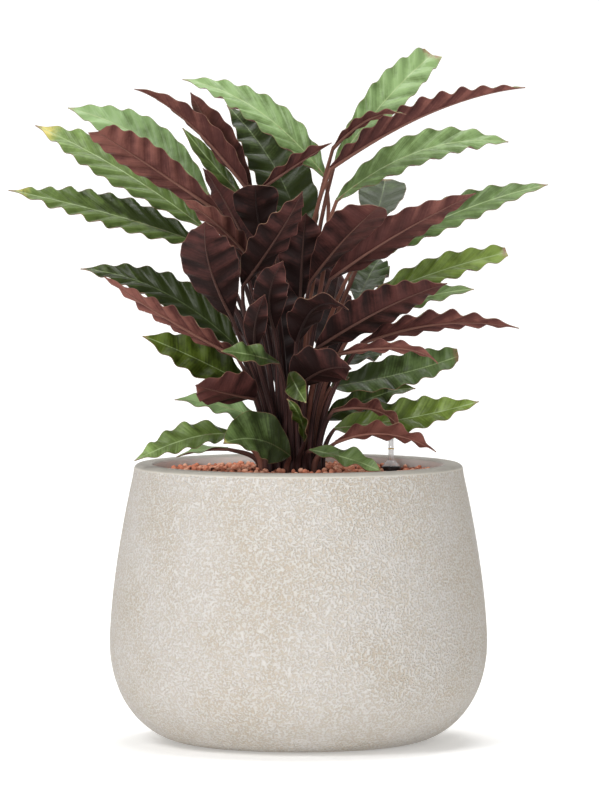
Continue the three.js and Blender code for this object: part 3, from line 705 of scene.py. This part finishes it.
def wall_radius(settings, height, bottom, widest, top):
    """A radius of the wall, which swells from its bottom to the belly and draws in again to its top."""
    if height < settings.belly_height:
        drop = min(1.0, (settings.belly_height - height) / (settings.belly_height - bottom))
        share = (1 - drop ** settings.belly_roundness) ** (1 / settings.belly_roundness)
        return settings.base_radius + (widest - settings.base_radius) * share
    rise = (height - settings.belly_height) / (settings.shoulder_height - settings.belly_height)
    return widest - (widest - top) * min(1.0, rise) ** settings.shoulder_power


def outer_radius(settings, height):
    return wall_radius(settings, height, 0.0, settings.belly_radius, settings.shoulder_radius)


def inner_radius(settings, height):
    inside = settings.belly_radius - settings.wall
    return wall_radius(settings, height, settings.wall, inside, settings.mouth_radius)


# Granule bed


def fired_clay(settings):
    """Expanded clay from the kiln: matt and dusty, each ball with its own shade of red brown, and with
    painted shade on its underside and in the lower layers.
    """
    material, tree, shader = new_material("fired_clay")
    shade = attribute(tree, "shade")
    dust = noise(tree, own_place(tree), 1.5 * MM, 3.0, 0.6)
    colour = mixed(tree, ranged(tree, shade, 0.55, 1.0), settings.clay, settings.pale)
    colour = mixed(tree, ranged(tree, dust, 0.45, 0.75, 0.0, 0.35), colour, linear("#A05F4A"))
    # Brown granules and painted shade: low shades, on the lower layers and the balls' undersides, turn dark.
    colour = mixed(tree, ranged(tree, shade, 0.3, 0.0), colour, settings.dark)
    fed(tree, shader, {"Base Color": colour, "Roughness": 0.95, "Specular IOR Level": 0.15})
    bumped(tree, shader, dust, 0.4 * MM)
    return material


class CALATHEA_OT_granules(bpy.types.Operator):
    """Fills the planter with clay granules: a solid bed with loose round balls all over its top"""

    bl_idname = "calathea.granules"
    bl_label = "Granules"

    def execute(self, context):
        settings = context.scene.calathea_granules
        planter = context.scene.calathea_planter
        bed = self.bed(settings, planter)
        balls = self.balls(settings, planter)
        piece = joined("clay_granule_bed", [bed, balls])
        smooth(piece, 60)
        shown(piece, "granules", "clay_granules")
        return {"FINISHED"}

    def bed(self, settings, planter):
        low, high = planter.wall + BED_FLOOR_GAP, settings.bed_height - BED_DEPTH
        rise = high - low - BED_CORNER
        heights = [low + BED_CORNER + rise * k / BED_RINGS for k in range(BED_RINGS + 1)]
        wall = [(inner_radius(planter, height) - BED_WALL_GAP, height) for height in heights]
        profile = [(0.0, low), (planter.base_radius - BED_CORNER, low)] + wall + [(0.0, high)]
        bed = turned("bed", profile, 64)
        # Painted shade: a near-black bed that shows only in the gaps between the balls.
        material, tree, shader = new_material("painted_shade_clay_bed")
        fed(tree, shader, {"Base Color": linear("#1E0F0C"), "Roughness": 1.0})
        bed.data.materials.append(material)
        return bed

    def balls(self, settings, planter):
        """Each layer's ball is modelled once and repeated, each time with its own size, lumps and turn."""
        draw = random.Random(settings.seed)
        feet = np.array(stem_feet()) * MM
        points, faces, ball_tones_and_painted_shade, count = [], [], [], 0
        layers = [self.places(settings, planter, feet, draw, *layer[:2]) for layer in BALL_LAYERS]
        for (_, _, rounds, palest), places in zip(BALL_LAYERS, layers):
            deselect()
            bpy.ops.mesh.primitive_ico_sphere_add(subdivisions=rounds, radius=1.0)
            ball = bpy.context.object
            corners = np.array([v.co for v in ball.data.vertices])
            index = np.array([p.vertices for p in ball.data.polygons])
            bpy.ops.object.delete()
            # Painted shade: each ball's lower half is darker, as in the shade of the balls round it.
            painted_crown_light = np.clip(0.75 + 0.6 * corners[:, 2], 0.2, 1.0)
            for place in places:
                size = settings.size / 2 * draw.uniform(*BALL_SIZES)
                stretch = np.array([draw.uniform(*BALL_STRETCH) for _ in range(3)])
                spin = draw.uniform(0, 2 * math.pi)
                cos, sin = math.cos(spin), math.sin(spin)
                turn = np.array([[cos, -sin, 0], [sin, cos, 0], [0, 0, 1]])
                phase = draw.uniform(0, BALL_LUMP_SHIFT)
                lumps = 1 + BALL_LUMP * np.sin(corners @ np.array(BALL_LUMP_WAVES) + phase)
                points.append((corners * lumps[:, None] * stretch) @ turn.T * size + np.array(place))
                faces.append(index + count)
                count += len(corners)
                ball_tones_and_painted_shade.append(painted_crown_light * palest * draw.random() ** 0.5)
        mesh = bpy.data.meshes.new("granules")
        mesh.from_pydata(np.concatenate(points).tolist(), [], np.concatenate(faces).tolist())
        note(mesh, "shade", np.concatenate(ball_tones_and_painted_shade))
        mesh.materials.append(fired_clay(settings))
        balls = bpy.data.objects.new("granules", mesh)
        bpy.context.collection.objects.link(balls)
        return balls

    def places(self, settings, planter, feet, draw, pitch, level):
        """One jittered honeycomb of places, clear of the wall, the stems and the gauge."""
        reach = planter.mouth_radius - 0.6 * settings.size
        gauge = bpy.context.scene.calathea_gauge
        pitch *= settings.size
        rows = int(reach / (pitch * ROW_HEIGHT)) + 1
        places = []
        for row in range(-rows, rows + 1):
            for column in range(-rows * 2, rows * 2 + 1):
                x = (column + row / 2) * pitch + draw.uniform(-1, 1) * BALL_JITTER * pitch
                y = row * pitch * ROW_HEIGHT + draw.uniform(-1, 1) * BALL_JITTER * pitch
                lift = (level + draw.uniform(-BALL_LIFT, BALL_LIFT)) * settings.size
                if math.hypot(x, y) > reach or math.hypot(x - gauge.side, y - gauge.back) < GAUGE_ROOM:
                    continue
                if np.min(np.hypot(feet[:, 0] - x, feet[:, 1] - y)) < STEM_ROOM:
                    continue
                away = math.hypot(x - CLUMP[0] * MM, y - CLUMP[1] * MM) / settings.mound_radius
                mound = settings.mound_rise * math.exp(-away * away)
                dip = DIP_DEPTH * math.exp(-((x - gauge.side) / DIP_WIDTH) ** 2) if y < gauge.back else 0
                places.append((x, y, settings.bed_height + mound + lift - dip))
        return places


# Water level gauge


def plastic(name, colour, roughness):
    """Moulded plastic: an even colour with a soft gloss, and a very faint mould grain."""
    material, tree, shader = new_material(name)
    grain = noise(tree, own_place(tree), 0.6 * MM, 2.0, 0.5)
    fed(tree, shader, {"Base Color": colour, "Roughness": roughness, "IOR": 1.49})
    bumped(tree, shader, grain, 0.04 * MM)
    return material


def clear_acrylic():
    """Extruded acrylic tube: clear and glossy."""
    material, tree, shader = new_material("clear_acrylic")
    draw_lines = noise(tree, own_place(tree), 2 * MM, 1.0, 0.5)
    fed(tree, shader, {"Base Color": linear("#FAFBFC"), "Roughness": 0.06, "IOR": 1.49, "Alpha": 0.34})
    bumped(tree, shader, draw_lines, 0.03 * MM)
    return material


class CALATHEA_OT_gauge(bpy.types.Operator):
    """Models the water level gauge: a black socket, a clear tube with yellow marks and a red pointer"""

    bl_idname = "calathea.gauge"
    bl_label = "Gauge"

    def execute(self, context):
        settings = context.scene.calathea_gauge
        place = (settings.side, settings.back)
        self.socket(settings, place)
        self.tube(settings, place)
        self.pointer(settings, place)
        return {"FINISHED"}

    def finish(self, piece, name):
        smooth(piece, 35)
        shown(piece, name, name)

    def socket(self, settings, place):
        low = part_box("gauge_socket")[0].z
        top = settings.socket_top
        bore, body, plate = 4.6 * MM, 6 * MM, 10.2 * MM
        under = top - 8 * MM
        ring = [(bore, low), (body, low), (body, under), (plate, under), (plate, top), (bore, top)]
        profile = rounded(ring + [(bore, low)], 1.1 * MM, 4)
        piece = turned("gauge_black_socket", profile, 48, place)
        piece.data.materials.append(plastic("black_moulded_plastic", settings.black, 0.35))
        self.finish(piece, "gauge_socket")

    def tube(self, settings, place):
        """A tube that widens into a small clear bell on the socket."""
        seat = settings.socket_top + 0.4 * MM
        outer, bore, top = settings.tube_radius, 2.2 * MM, settings.top
        ceiling = top - 1.2 * MM
        outline = [(0, top), (outer, top), (outer, seat + 6 * MM), (6.6 * MM, seat + 3.6 * MM),
                   (9.2 * MM, seat), (7.8 * MM, seat), (5.6 * MM, seat + 2.8 * MM), (bore, seat + 5 * MM),
                   (bore, ceiling), (0, ceiling)]
        piece = turned("gauge_clear_tube", rounded(outline, 0.9 * MM, 4), 40, place)
        piece.data.materials.append(clear_acrylic())
        marks = plastic("yellow_level_mark", settings.marker, 0.5)
        bands = [self.mark(settings, place, height, marks) for height in MARK_HEIGHTS]
        self.finish(joined("gauge_clear_tube", [piece] + bands), "gauge_tube")

    def mark(self, settings, place, height, material):
        """A yellow band printed round the tube."""
        low = settings.tube_radius + 0.05 * MM
        high, ease, tall = low + 0.12 * MM, 0.1 * MM, 0.9 * MM
        ring = [(low, height), (high, height + ease), (high, height + tall), (low, height + tall + ease),
                (low, height)]
        band = turned("mark", ring, 40, place)
        band.data.materials.append(material)
        return band

    def pointer(self, settings, place):
        """A float on a thin rod, with a red tip that is orange at its top."""
        low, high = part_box("gauge_float")
        rod, tip, body, top = 0.8 * MM, 1.7 * MM, 3.8 * MM, high.z - 1.4 * MM
        neck = top - 3.2 * MM
        profile = [(0, low.z), (body, low.z + 2 * MM), (body, low.z + 40 * MM), (rod, low.z + 42 * MM),
                   (rod, neck), (tip, neck + 0.4 * MM), (tip, neck + 1.6 * MM), (tip, top - 0.4 * MM),
                   (0, top)]
        piece = turned("gauge_red_pointer", rounded(profile, 0.3 * MM, 3), 24, place)
        for name, colour in (("grey", settings.rod), ("red", settings.red), ("orange", settings.amber)):
            piece.data.materials.append(plastic(f"{name}_moulded_plastic", colour, 0.4))
        for face in piece.data.polygons:
            face.material_index = (face.center.z > neck) + (face.center.z > neck + 1.5 * MM)
        self.finish(piece, "gauge_float")


# Leaves


def stem_feet():
    """Each foot starts on its own leaf's side of the clump, and feet too close push each other apart."""
    clump = complex(*CLUMP)
    feet = []
    for (x, y, z), *_ in LEAVES:
        away = complex(x, y) - clump
        lean = min(1.0, abs(away) / (z - BED_LEVEL) / FULL_LEAN)
        feet.append(clump + CLUMP_REACH * lean * away / abs(away))
    for _ in range(FOOT_ROUNDS):
        for one, other in itertools.combinations(range(len(feet)), 2):
            gap = feet[other] - feet[one]
            apart = abs(gap)
            if apart < FOOT_SPACING:
                push = 0.5 * (FOOT_SPACING / apart - 1) * gap
                feet[one] -= push
                feet[other] += push
        for k, foot in enumerate(feet):
            feet[k] = clump + min(1.0, CLUMP_REACH / abs(foot - clump)) * (foot - clump)
    return [(foot.real, foot.imag) for foot in feet]


def seeded(seed):
    """The same random numbers each time, from a seed."""
    state = seed
    while True:
        state = (state * 1664525 + 1013904223) % 4294967296
        yield state / 4294967296


def unit(vectors):
    return vectors / np.linalg.norm(vectors, axis=-1, keepdims=True)


class Blade:
    """One blade's midrib, frame, outline and waves, in metres. Shares run from its collar to its tip."""

    def __init__(self, leaf, row, settings):
        collar, mid, tip, face, width, *form = row
        self.start, middle, self.end = (np.array(p, float) * MM for p in (collar, mid, tip))
        self.pull = 2 * middle - (self.start + self.end) / 2
        self.face = unit(np.array(face, float))
        self.width = (width - BLADE_TRIM) * MM
        self.form = form[0] if form else {}
        self.settings = settings
        fine = np.linspace(0, 1, 401)
        path = self.curve(fine)
        run = np.concatenate([[0], np.cumsum(np.linalg.norm(np.diff(path, axis=0), axis=1))])
        self.length = run[-1]
        self.share_of = lambda t: np.interp(t, run / run[-1], fine)
        self.stations(leaf)

    def curve(self, u):
        u = np.asarray(u)[..., None]
        return (1 - u) ** 2 * self.start + 2 * u * (1 - u) * self.pull + u ** 2 * self.end

    def place(self, t):
        return self.curve(self.share_of(t))

    def directions(self, t):
        u = self.share_of(t)[..., None]
        along = unit((1 - u) * (self.pull - self.start) + u * (self.end - self.pull))
        up = unit(self.face - np.sum(along * self.face, axis=-1, keepdims=True) * along)
        return along, up, np.cross(along, up)

    def half_width(self, t):
        share = t * (ROUND_SHARE if "round" in self.form else BLUNT_SHARE if "blunt" in self.form else 1)
        early = BROAD_POWER if "broad" in self.form else USUAL_POWER
        last = np.clip((t - ARC_START) / (1 - ARC_START), 0, 1)
        arc = np.sqrt(1 - last ** 2) if "round" in self.form else 1
        return 0.5 * self.width * arc * np.sin(np.pi * np.clip(share, 0, 1) ** early) ** FULLNESS

    def stations(self, leaf):
        """The margin swings up and down from station to station, and the two margins swing opposite ways."""
        settings = self.settings
        self.steps = 2 * max(2, round(self.length / settings.wave_pitch))
        draws = seeded(99 + leaf)
        lead = 1 if next(draws) < 0.5 else -1
        self.left, self.right = [], []
        for k in range(self.steps + 1):
            half = float(self.half_width(np.array(k / self.steps)))
            side = lead if k % 2 else -lead
            swing = side * settings.wave_height * min(1.0, 2 * half / (WAVE_FULL_WIDTH * MM))
            swing *= self.form.get("calm", 1)
            self.left.append(swing * (LOWEST_WAVE + WAVE_CHANCE * next(draws)))
            self.right.append(-swing * (LOWEST_WAVE + WAVE_CHANCE * next(draws)))

    def swing(self, t, values):
        """A smooth swing through the stations."""
        at = np.clip(t, 0, 1) * self.steps
        low = np.minimum(at.astype(int), self.steps - 1)
        values = np.array(values)
        ease = 0.5 - 0.5 * np.cos(np.pi * (at - low))
        return values[low] * (1 - ease) + values[low + 1] * ease


def leaf_shape(blade, t, s):
    """Where the point at share t along and share s across (-1 to 1) of a blade lies."""
    settings = blade.settings
    along, up, side = blade.directions(t)
    half = np.maximum(blade.half_width(t), (1 - t) * settings.collar_radius + t * TIP_HALF_WIDTH * MM)
    if "blunt" not in blade.form and "round" not in blade.form:
        half = half * (1 - DRIP_NARROWING * np.clip((t - DRIP_START) / (1 - DRIP_START), 0, 1))
    fold = math.radians(blade.form["fold"]) if "fold" in blade.form else settings.fold
    near = np.abs(s)
    out = s * half * math.cos(fold)
    lift = near ** FOLD_POWER * half * math.sin(fold)
    slender = min(2.0, max(0.0, blade.length / blade.width - PLEAT_SLENDER))
    pleat = t + settings.pleat_lean * slender * half / blade.length * (1 - near)
    swing = np.where(s < 0, blade.swing(pleat, blade.left), blade.swing(pleat, blade.right))
    wave = swing * near ** WAVE_POWER
    slant = settings.wave_slant * half * (1 - t ** 3) * near
    place = blade.place(t) + side * out[:, None] + up * (lift + wave)[:, None] + along * slant[:, None]
    return place, half, wave / settings.wave_height, pleat * blade.length


class CALATHEA_OT_leaves(bpy.types.Operator):
    """Models every leaf: a stem that rises from the granules, and a waved blade on it"""

    bl_idname = "calathea.leaves"
    bl_label = "Leaves"

    def execute(self, context):
        settings = context.scene.calathea_leaves
        finishes = [upper_face(settings), under_face(settings), dry_margin(settings)]
        skin = ribbed_stem(settings)
        for leaf, (row, foot) in enumerate(zip(LEAVES, stem_feet()), start=1):
            blade = Blade(leaf, row, settings)
            sheet = self.sheet(blade, leaf, settings, finishes)
            stem = self.stem(blade, foot, leaf, settings, skin)
            piece = joined(f"waved_leaf_{leaf:02d}", [sheet, stem])
            smooth(piece, 60)
            shown(piece, "leaf", f"leaf_{leaf:02d}")
        return {"FINISHED"}

    def sheet(self, blade, leaf, settings, finishes):
        """A grid shaped into the blade, then given its thickness."""
        deselect()
        along = POINTS_PER_SWING * blade.steps
        bpy.ops.mesh.primitive_grid_add(x_subdivisions=along, y_subdivisions=POINTS_ACROSS, size=2)
        sheet = bpy.context.object
        mesh = sheet.data
        flat = np.array([v.co for v in mesh.vertices])
        t = (flat[:, 0] + 1) / 2
        s = -flat[:, 1]
        place, half, crest, pleat = leaf_shape(blade, t, s)
        mesh.vertices.foreach_set("co", place.astype(np.float32).ravel())
        self.measure(mesh, t, s, half, crest, pleat, leaf)
        for finish in finishes:
            mesh.materials.append(finish)
        thick = sheet.modifiers.new("thickness", "SOLIDIFY")
        thick.thickness = settings.thickness
        thick.offset = 0
        thick.material_offset = 1
        thick.material_offset_rim = 2
        apply_modifiers(sheet)
        return sheet

    def measure(self, mesh, t, s, half, crest, pleat, leaf):
        """The blade's own measures for its finish. Its flat map holds metres along the pleats and across."""
        reach = RIPE_TIPS.get(leaf, USUAL_RIPE)
        depth = SHADED_HALVES.get(leaf, 0.0)
        one_half = np.clip(0.5 + 2.5 * s * math.copysign(1, depth), 0, 1)
        shade = abs(depth) * one_half * np.clip(1.5 - 1.8 * t, 0, 1)
        note(mesh, "edge", (1 - np.abs(s)) * half)
        # The tone carries painted shade: darker toward the collar, and on the half that SHADED_HALVES names.
        note(mesh, "tone", TONES[leaf - 1] + TONE_RISE * (t - TONE_PLACE) - shade)
        note(mesh, "olive", np.full(len(t), OLIVES.get(leaf, USUAL_OLIVE)))
        note(mesh, "ripe", np.clip((t - 1 + reach) / (0.5 * reach), 0, 1))
        note(mesh, "crest", crest)
        note(mesh, "tip", np.clip((t - DRY_START) / DRY_LENGTH, 0, 1))
        flatten(mesh, np.stack([pleat + MAP_STEP * leaf, s * half], axis=1))

    def stem(self, blade, foot, leaf, settings, skin):
        """A curve from below the granules up to the collar, and on under the blade as its midrib."""
        base = Vector((foot[0] * MM, foot[1] * MM, FOOT_TOP * MM))
        collar, tip, pull = Vector(blade.start), Vector(blade.end), Vector(blade.pull)
        halfway = Vector(blade.curve(0.5))
        reach = (collar - base).length
        upright = Vector((0, 0, 1))
        tangent = Vector(unit(blade.pull - blade.start))
        arrive = ((collar - base).normalized() + STEM_TURN * tangent).normalized()
        radii = (settings.collar_radius, 0.5 * settings.collar_radius, RIB_TIP * MM)
        _, ups, _ = blade.directions(np.array([0.0, 0.5, 1.0]))
        drop = [Vector(up) * -(RIB_SINK * radius) for up, radius in zip(ups, radii)]
        sixth = (tip - collar) / 6
        low = base - (FOOT_TOP - FOOT_BOTTOM) * MM * upright
        sheath = settings.stem_radius * settings.sheath
        start, middle, end = collar + drop[0], halfway + drop[1], tip + drop[2]
        points = [
            (low, base - 20 * MM * upright, base - 10 * MM * upright, settings.stem_radius),
            (base, base - 5 * MM * upright, base + STEM_RISE * reach * upright, sheath),
            (start, collar - arrive * STEM_BEND * reach, collar.lerp(pull, 1 / 3) + drop[0], radii[0]),
            (middle, middle - sixth, middle + sixth, radii[1]),
            (end, tip.lerp(pull, 1 / 3) + drop[2], tip + (tip - pull) * 0.1, radii[2]),
        ]
        deselect()
        bpy.ops.curve.primitive_bezier_curve_add()
        stem = bpy.context.object
        stem.data.dimensions = "3D"
        stem.data.bevel_depth = 1.0
        stem.data.bevel_resolution = 3
        stem.data.resolution_u = STEM_STEPS
        stem.data.use_fill_caps = True
        spline = stem.data.splines[0]
        spline.bezier_points.add(len(points) - 2)
        for point, (place, before, after, radius) in zip(spline.bezier_points, points):
            point.handle_left_type = "FREE"
            point.handle_right_type = "FREE"
            point.co = place
            point.handle_left = before
            point.handle_right = after
            point.radius = radius
        choose(stem)
        bpy.ops.object.convert(target="MESH")
        stem = bpy.context.object
        self.wrap(stem.data, STEM_STEPS * (len(points) - 1) + 1, leaf)
        stem.data.materials.clear()
        stem.data.materials.append(skin)
        return stem

    def wrap(self, mesh, rings, leaf):
        """Along and around the stem in metres, for its ribs. Its points lie ring after ring."""
        place = np.array([v.co for v in mesh.vertices])
        corners = len(place) // rings
        middles = place[:rings * corners].reshape(rings, corners, 3).mean(axis=1)
        run = np.concatenate([[0], np.cumsum(np.linalg.norm(np.diff(middles, axis=0), axis=1))])
        at = np.minimum(np.arange(len(place)) // corners, rings - 1)
        turn = 1 - np.abs(2 * (np.arange(len(place)) % corners) / corners - 1)
        note(mesh, "rib", np.clip((at - 0.5 * (rings - 1)) / (0.1 * (rings - 1)), 0, 1))
        note(mesh, "tone", np.full(len(place), TONES[leaf - 1]))
        note(mesh, "paleness", np.full(len(place), PALE_STEMS.get(leaf, 0.0)))
        flatten(mesh, np.stack([run[at], STEM_GIRTH * turn], axis=1))


def veins(tree, spacing):
    """Side veins that lean with the pleats: fine streaks, broad streaks, and the distance from the midrib."""
    flat = add(tree, "ShaderNodeUVMap", uv_map="UVMap").outputs["UV"]
    stretched = add(tree, "ShaderNodeMapping", {"Vector": flat, "Scale": (1, 0.07, 1)}).outputs["Vector"]
    parts = add(tree, "ShaderNodeSeparateXYZ", {"Vector": flat})
    across = reckon(tree, "ABSOLUTE", parts.outputs["Y"])
    fine = noise(tree, stretched, 0.3 * spacing, 2.0, 0.6)
    broad = noise(tree, stretched, 1.2 * spacing, 1.0, 0.5)
    even = reckon(tree, "COSINE", reckon(tree, "MULTIPLY", parts.outputs["X"], 2 * math.pi / spacing))
    return summed(tree, -1.5, (fine, 3.0), (even, 0.2)), summed(tree, -2.0, (broad, 4.0)), across


def upper_face(settings):
    """Waxy upper face: satin green, with painted highlights on its crests, a pale midrib and fine leaning
    veins.
    """
    material, tree, shader = new_material("waxy_green_leaf")
    where = own_place(tree)
    blots = noise(tree, where, 8 * MM, 4.0, 0.65)
    speck = noise(tree, where, 1.6 * MM, 3.0, 0.6)
    vein, fold, across = veins(tree, 3.3 * MM)
    # Painted highlight: the tone rises on the waves' crests.
    tone = summed(tree, attribute(tree, "tone"), (attribute(tree, "crest"), 0.12),
                  (summed(tree, -0.5, (blots, 1.0)), 0.9), (vein, 0.13), (fold, 0.08))
    colour = mixed(tree, ranged(tree, tone, 0.0, 0.5), settings.deep, settings.green)
    colour = mixed(tree, ranged(tree, tone, 0.45, 1.0), colour, settings.bright)
    sunned = mixed(tree, 1.0, colour, settings.olive, "MULTIPLY")
    colour = mixed(tree, attribute(tree, "olive"), colour, sunned)
    patchy = reckon(tree, "MULTIPLY", attribute(tree, "ripe"), ranged(tree, blots, 0.35, 0.6))
    colour = mixed(tree, patchy, colour, settings.ripe)
    rib = ranged(tree, across, 0.9 * MM, 0.3 * MM)
    on_rib = reckon(tree, "MULTIPLY", rib, ranged(tree, tone, -0.1, 0.6, 0.15, 0.75))
    colour = mixed(tree, on_rib, colour, settings.rib)
    dried = reckon(tree, "MULTIPLY", attribute(tree, "tip"), ranged(tree, speck, 0.3, 0.6))
    colour = mixed(tree, dried, colour, settings.margin)
    colour = mixed(tree, near_edge(tree), colour, settings.margin)
    gloss = ranged(tree, speck, 0.3, 0.7, 0.3, 0.42)
    fed(tree, shader, {"Base Color": colour, "Roughness": gloss, "IOR": 1.45, "Specular IOR Level": 0.36})
    bumped(tree, shader, summed(tree, speck, (vein, 0.3), (fold, 0.9)), 0.22 * MM)
    return material


def near_edge(tree):
    return ranged(tree, attribute(tree, "edge"), 0.6 * MM, 0.2 * MM, 0.0, 0.5)


def under_face(settings):
    """Velvety underside: maroon with short hairs, paler along its folds and its raised veins, with painted
    shade in the hollows of its waves and painted light on their ridges.
    """
    material, tree, shader = new_material("velvet_maroon_leaf")
    where = own_place(tree)
    blots = noise(tree, where, 10 * MM, 4.0, 0.65)
    nap = noise(tree, where, 1.2 * MM, 3.0, 0.6)
    vein, fold, _ = veins(tree, 4 * MM)
    # Painted light and shade: the tone falls in the hollows of the waves and rises on their ridges.
    tone = summed(tree, attribute(tree, "tone"), (attribute(tree, "crest"), -0.26),
                  (summed(tree, -0.5, (blots, 1.0)), 0.8), (vein, 0.1), (fold, 0.07))
    colour = mixed(tree, ranged(tree, tone, 0.0, 0.5), settings.shade, settings.maroon)
    colour = mixed(tree, ranged(tree, tone, 0.45, 1.0), colour, settings.rose)
    colour = mixed(tree, near_edge(tree), colour, settings.vein)
    fed(tree, shader, {"Base Color": colour, "Roughness": 0.6, "IOR": 1.4, "Specular IOR Level": 0.2,
                       "Sheen Weight": 0.03, "Sheen Roughness": 0.4, "Sheen Tint": linear("#D9A79B")})
    bumped(tree, shader, summed(tree, nap, (vein, 0.4), (fold, 0.9)), 0.25 * MM)
    return material


def dry_margin(settings):
    """The thin dry edge of a blade."""
    material, tree, shader = new_material("dry_leaf_margin")
    spots = noise(tree, own_place(tree), 4 * MM, 2.0, 0.6)
    colour = mixed(tree, ranged(tree, spots, 0.35, 0.65), settings.margin, linear("#5A3C30"))
    fed(tree, shader, {"Base Color": colour, "Roughness": 0.7})
    return material


def ribbed_stem(settings):
    """Stems with long fine ribs and short pinkish hairs, and paler where they become midribs."""
    material, tree, shader = new_material("ribbed_maroon_stem")
    where = own_place(tree)
    flat = add(tree, "ShaderNodeUVMap", uv_map="UVMap").outputs["UV"]
    stretched = add(tree, "ShaderNodeMapping", {"Vector": flat, "Scale": (0.03, 1, 1)}).outputs["Vector"]
    ribs = noise(tree, stretched, 0.7 * MM, 2.0, 0.5)
    hairs = noise(tree, where, 0.9 * MM, 2.0, 0.6)
    blots = noise(tree, where, 30 * MM, 2.0, 0.5)
    colour = mixed(tree, ranged(tree, ribs, 0.45, 0.75, 0.0, 0.8), settings.stem, settings.stem_rib)
    colour = mixed(tree, ranged(tree, blots, 0.5, 0.8, 0.0, 0.5), colour, linear("#231514"))
    colour = mixed(tree, attribute(tree, "paleness"), colour, settings.pale_stem)
    midrib = mixed(tree, attribute(tree, "tone"), settings.shade, linear("#8E6154"))
    colour = mixed(tree, attribute(tree, "rib"), colour, midrib)
    fed(tree, shader, {"Base Color": colour, "Roughness": 0.6, "Specular IOR Level": 0.25,
                       "Sheen Weight": 0.05, "Sheen Tint": linear("#D9A79B")})
    bumped(tree, shader, summed(tree, ribs, (hairs, 0.6)), 0.5 * MM)
    return material


# Panel and registration

OPERATORS = (CALATHEA_OT_stage, CALATHEA_OT_planter, CALATHEA_OT_granules, CALATHEA_OT_gauge,
             CALATHEA_OT_leaves)


class CALATHEA_PT_panel(bpy.types.Panel):
    """Lists the operators that build the plant"""

    bl_idname = "CALATHEA_PT_panel"
    bl_label = "Potted calathea"
    bl_space_type = "VIEW_3D"
    bl_region_type = "UI"
    bl_category = "Calathea"

    def draw(self, context):
        for operator in OPERATORS:
            self.layout.operator(operator.bl_idname)


SETTINGS = {
    "calathea_stage": StageSettings,
    "calathea_planter": PlanterSettings,
    "calathea_granules": GranuleSettings,
    "calathea_gauge": GaugeSettings,
    "calathea_leaves": LeafSettings,
}

CLASSES = (*SETTINGS.values(), *OPERATORS, CALATHEA_PT_panel)


def register():
    for one in CLASSES:
        bpy.utils.register_class(one)
    for name, group in SETTINGS.items():
        setattr(bpy.types.Scene, name, bpy.props.PointerProperty(type=group))


def unregister():
    for name in SETTINGS:
        delattr(bpy.types.Scene, name)
    for one in reversed(CLASSES):
        bpy.utils.unregister_class(one)


def main():
    register()
    bpy.ops.calathea.stage()
    bpy.ops.calathea.planter()
    bpy.ops.calathea.granules()
    bpy.ops.calathea.gauge()
    bpy.ops.calathea.leaves()
    deselect()


if __name__ == "__main__":
    main()
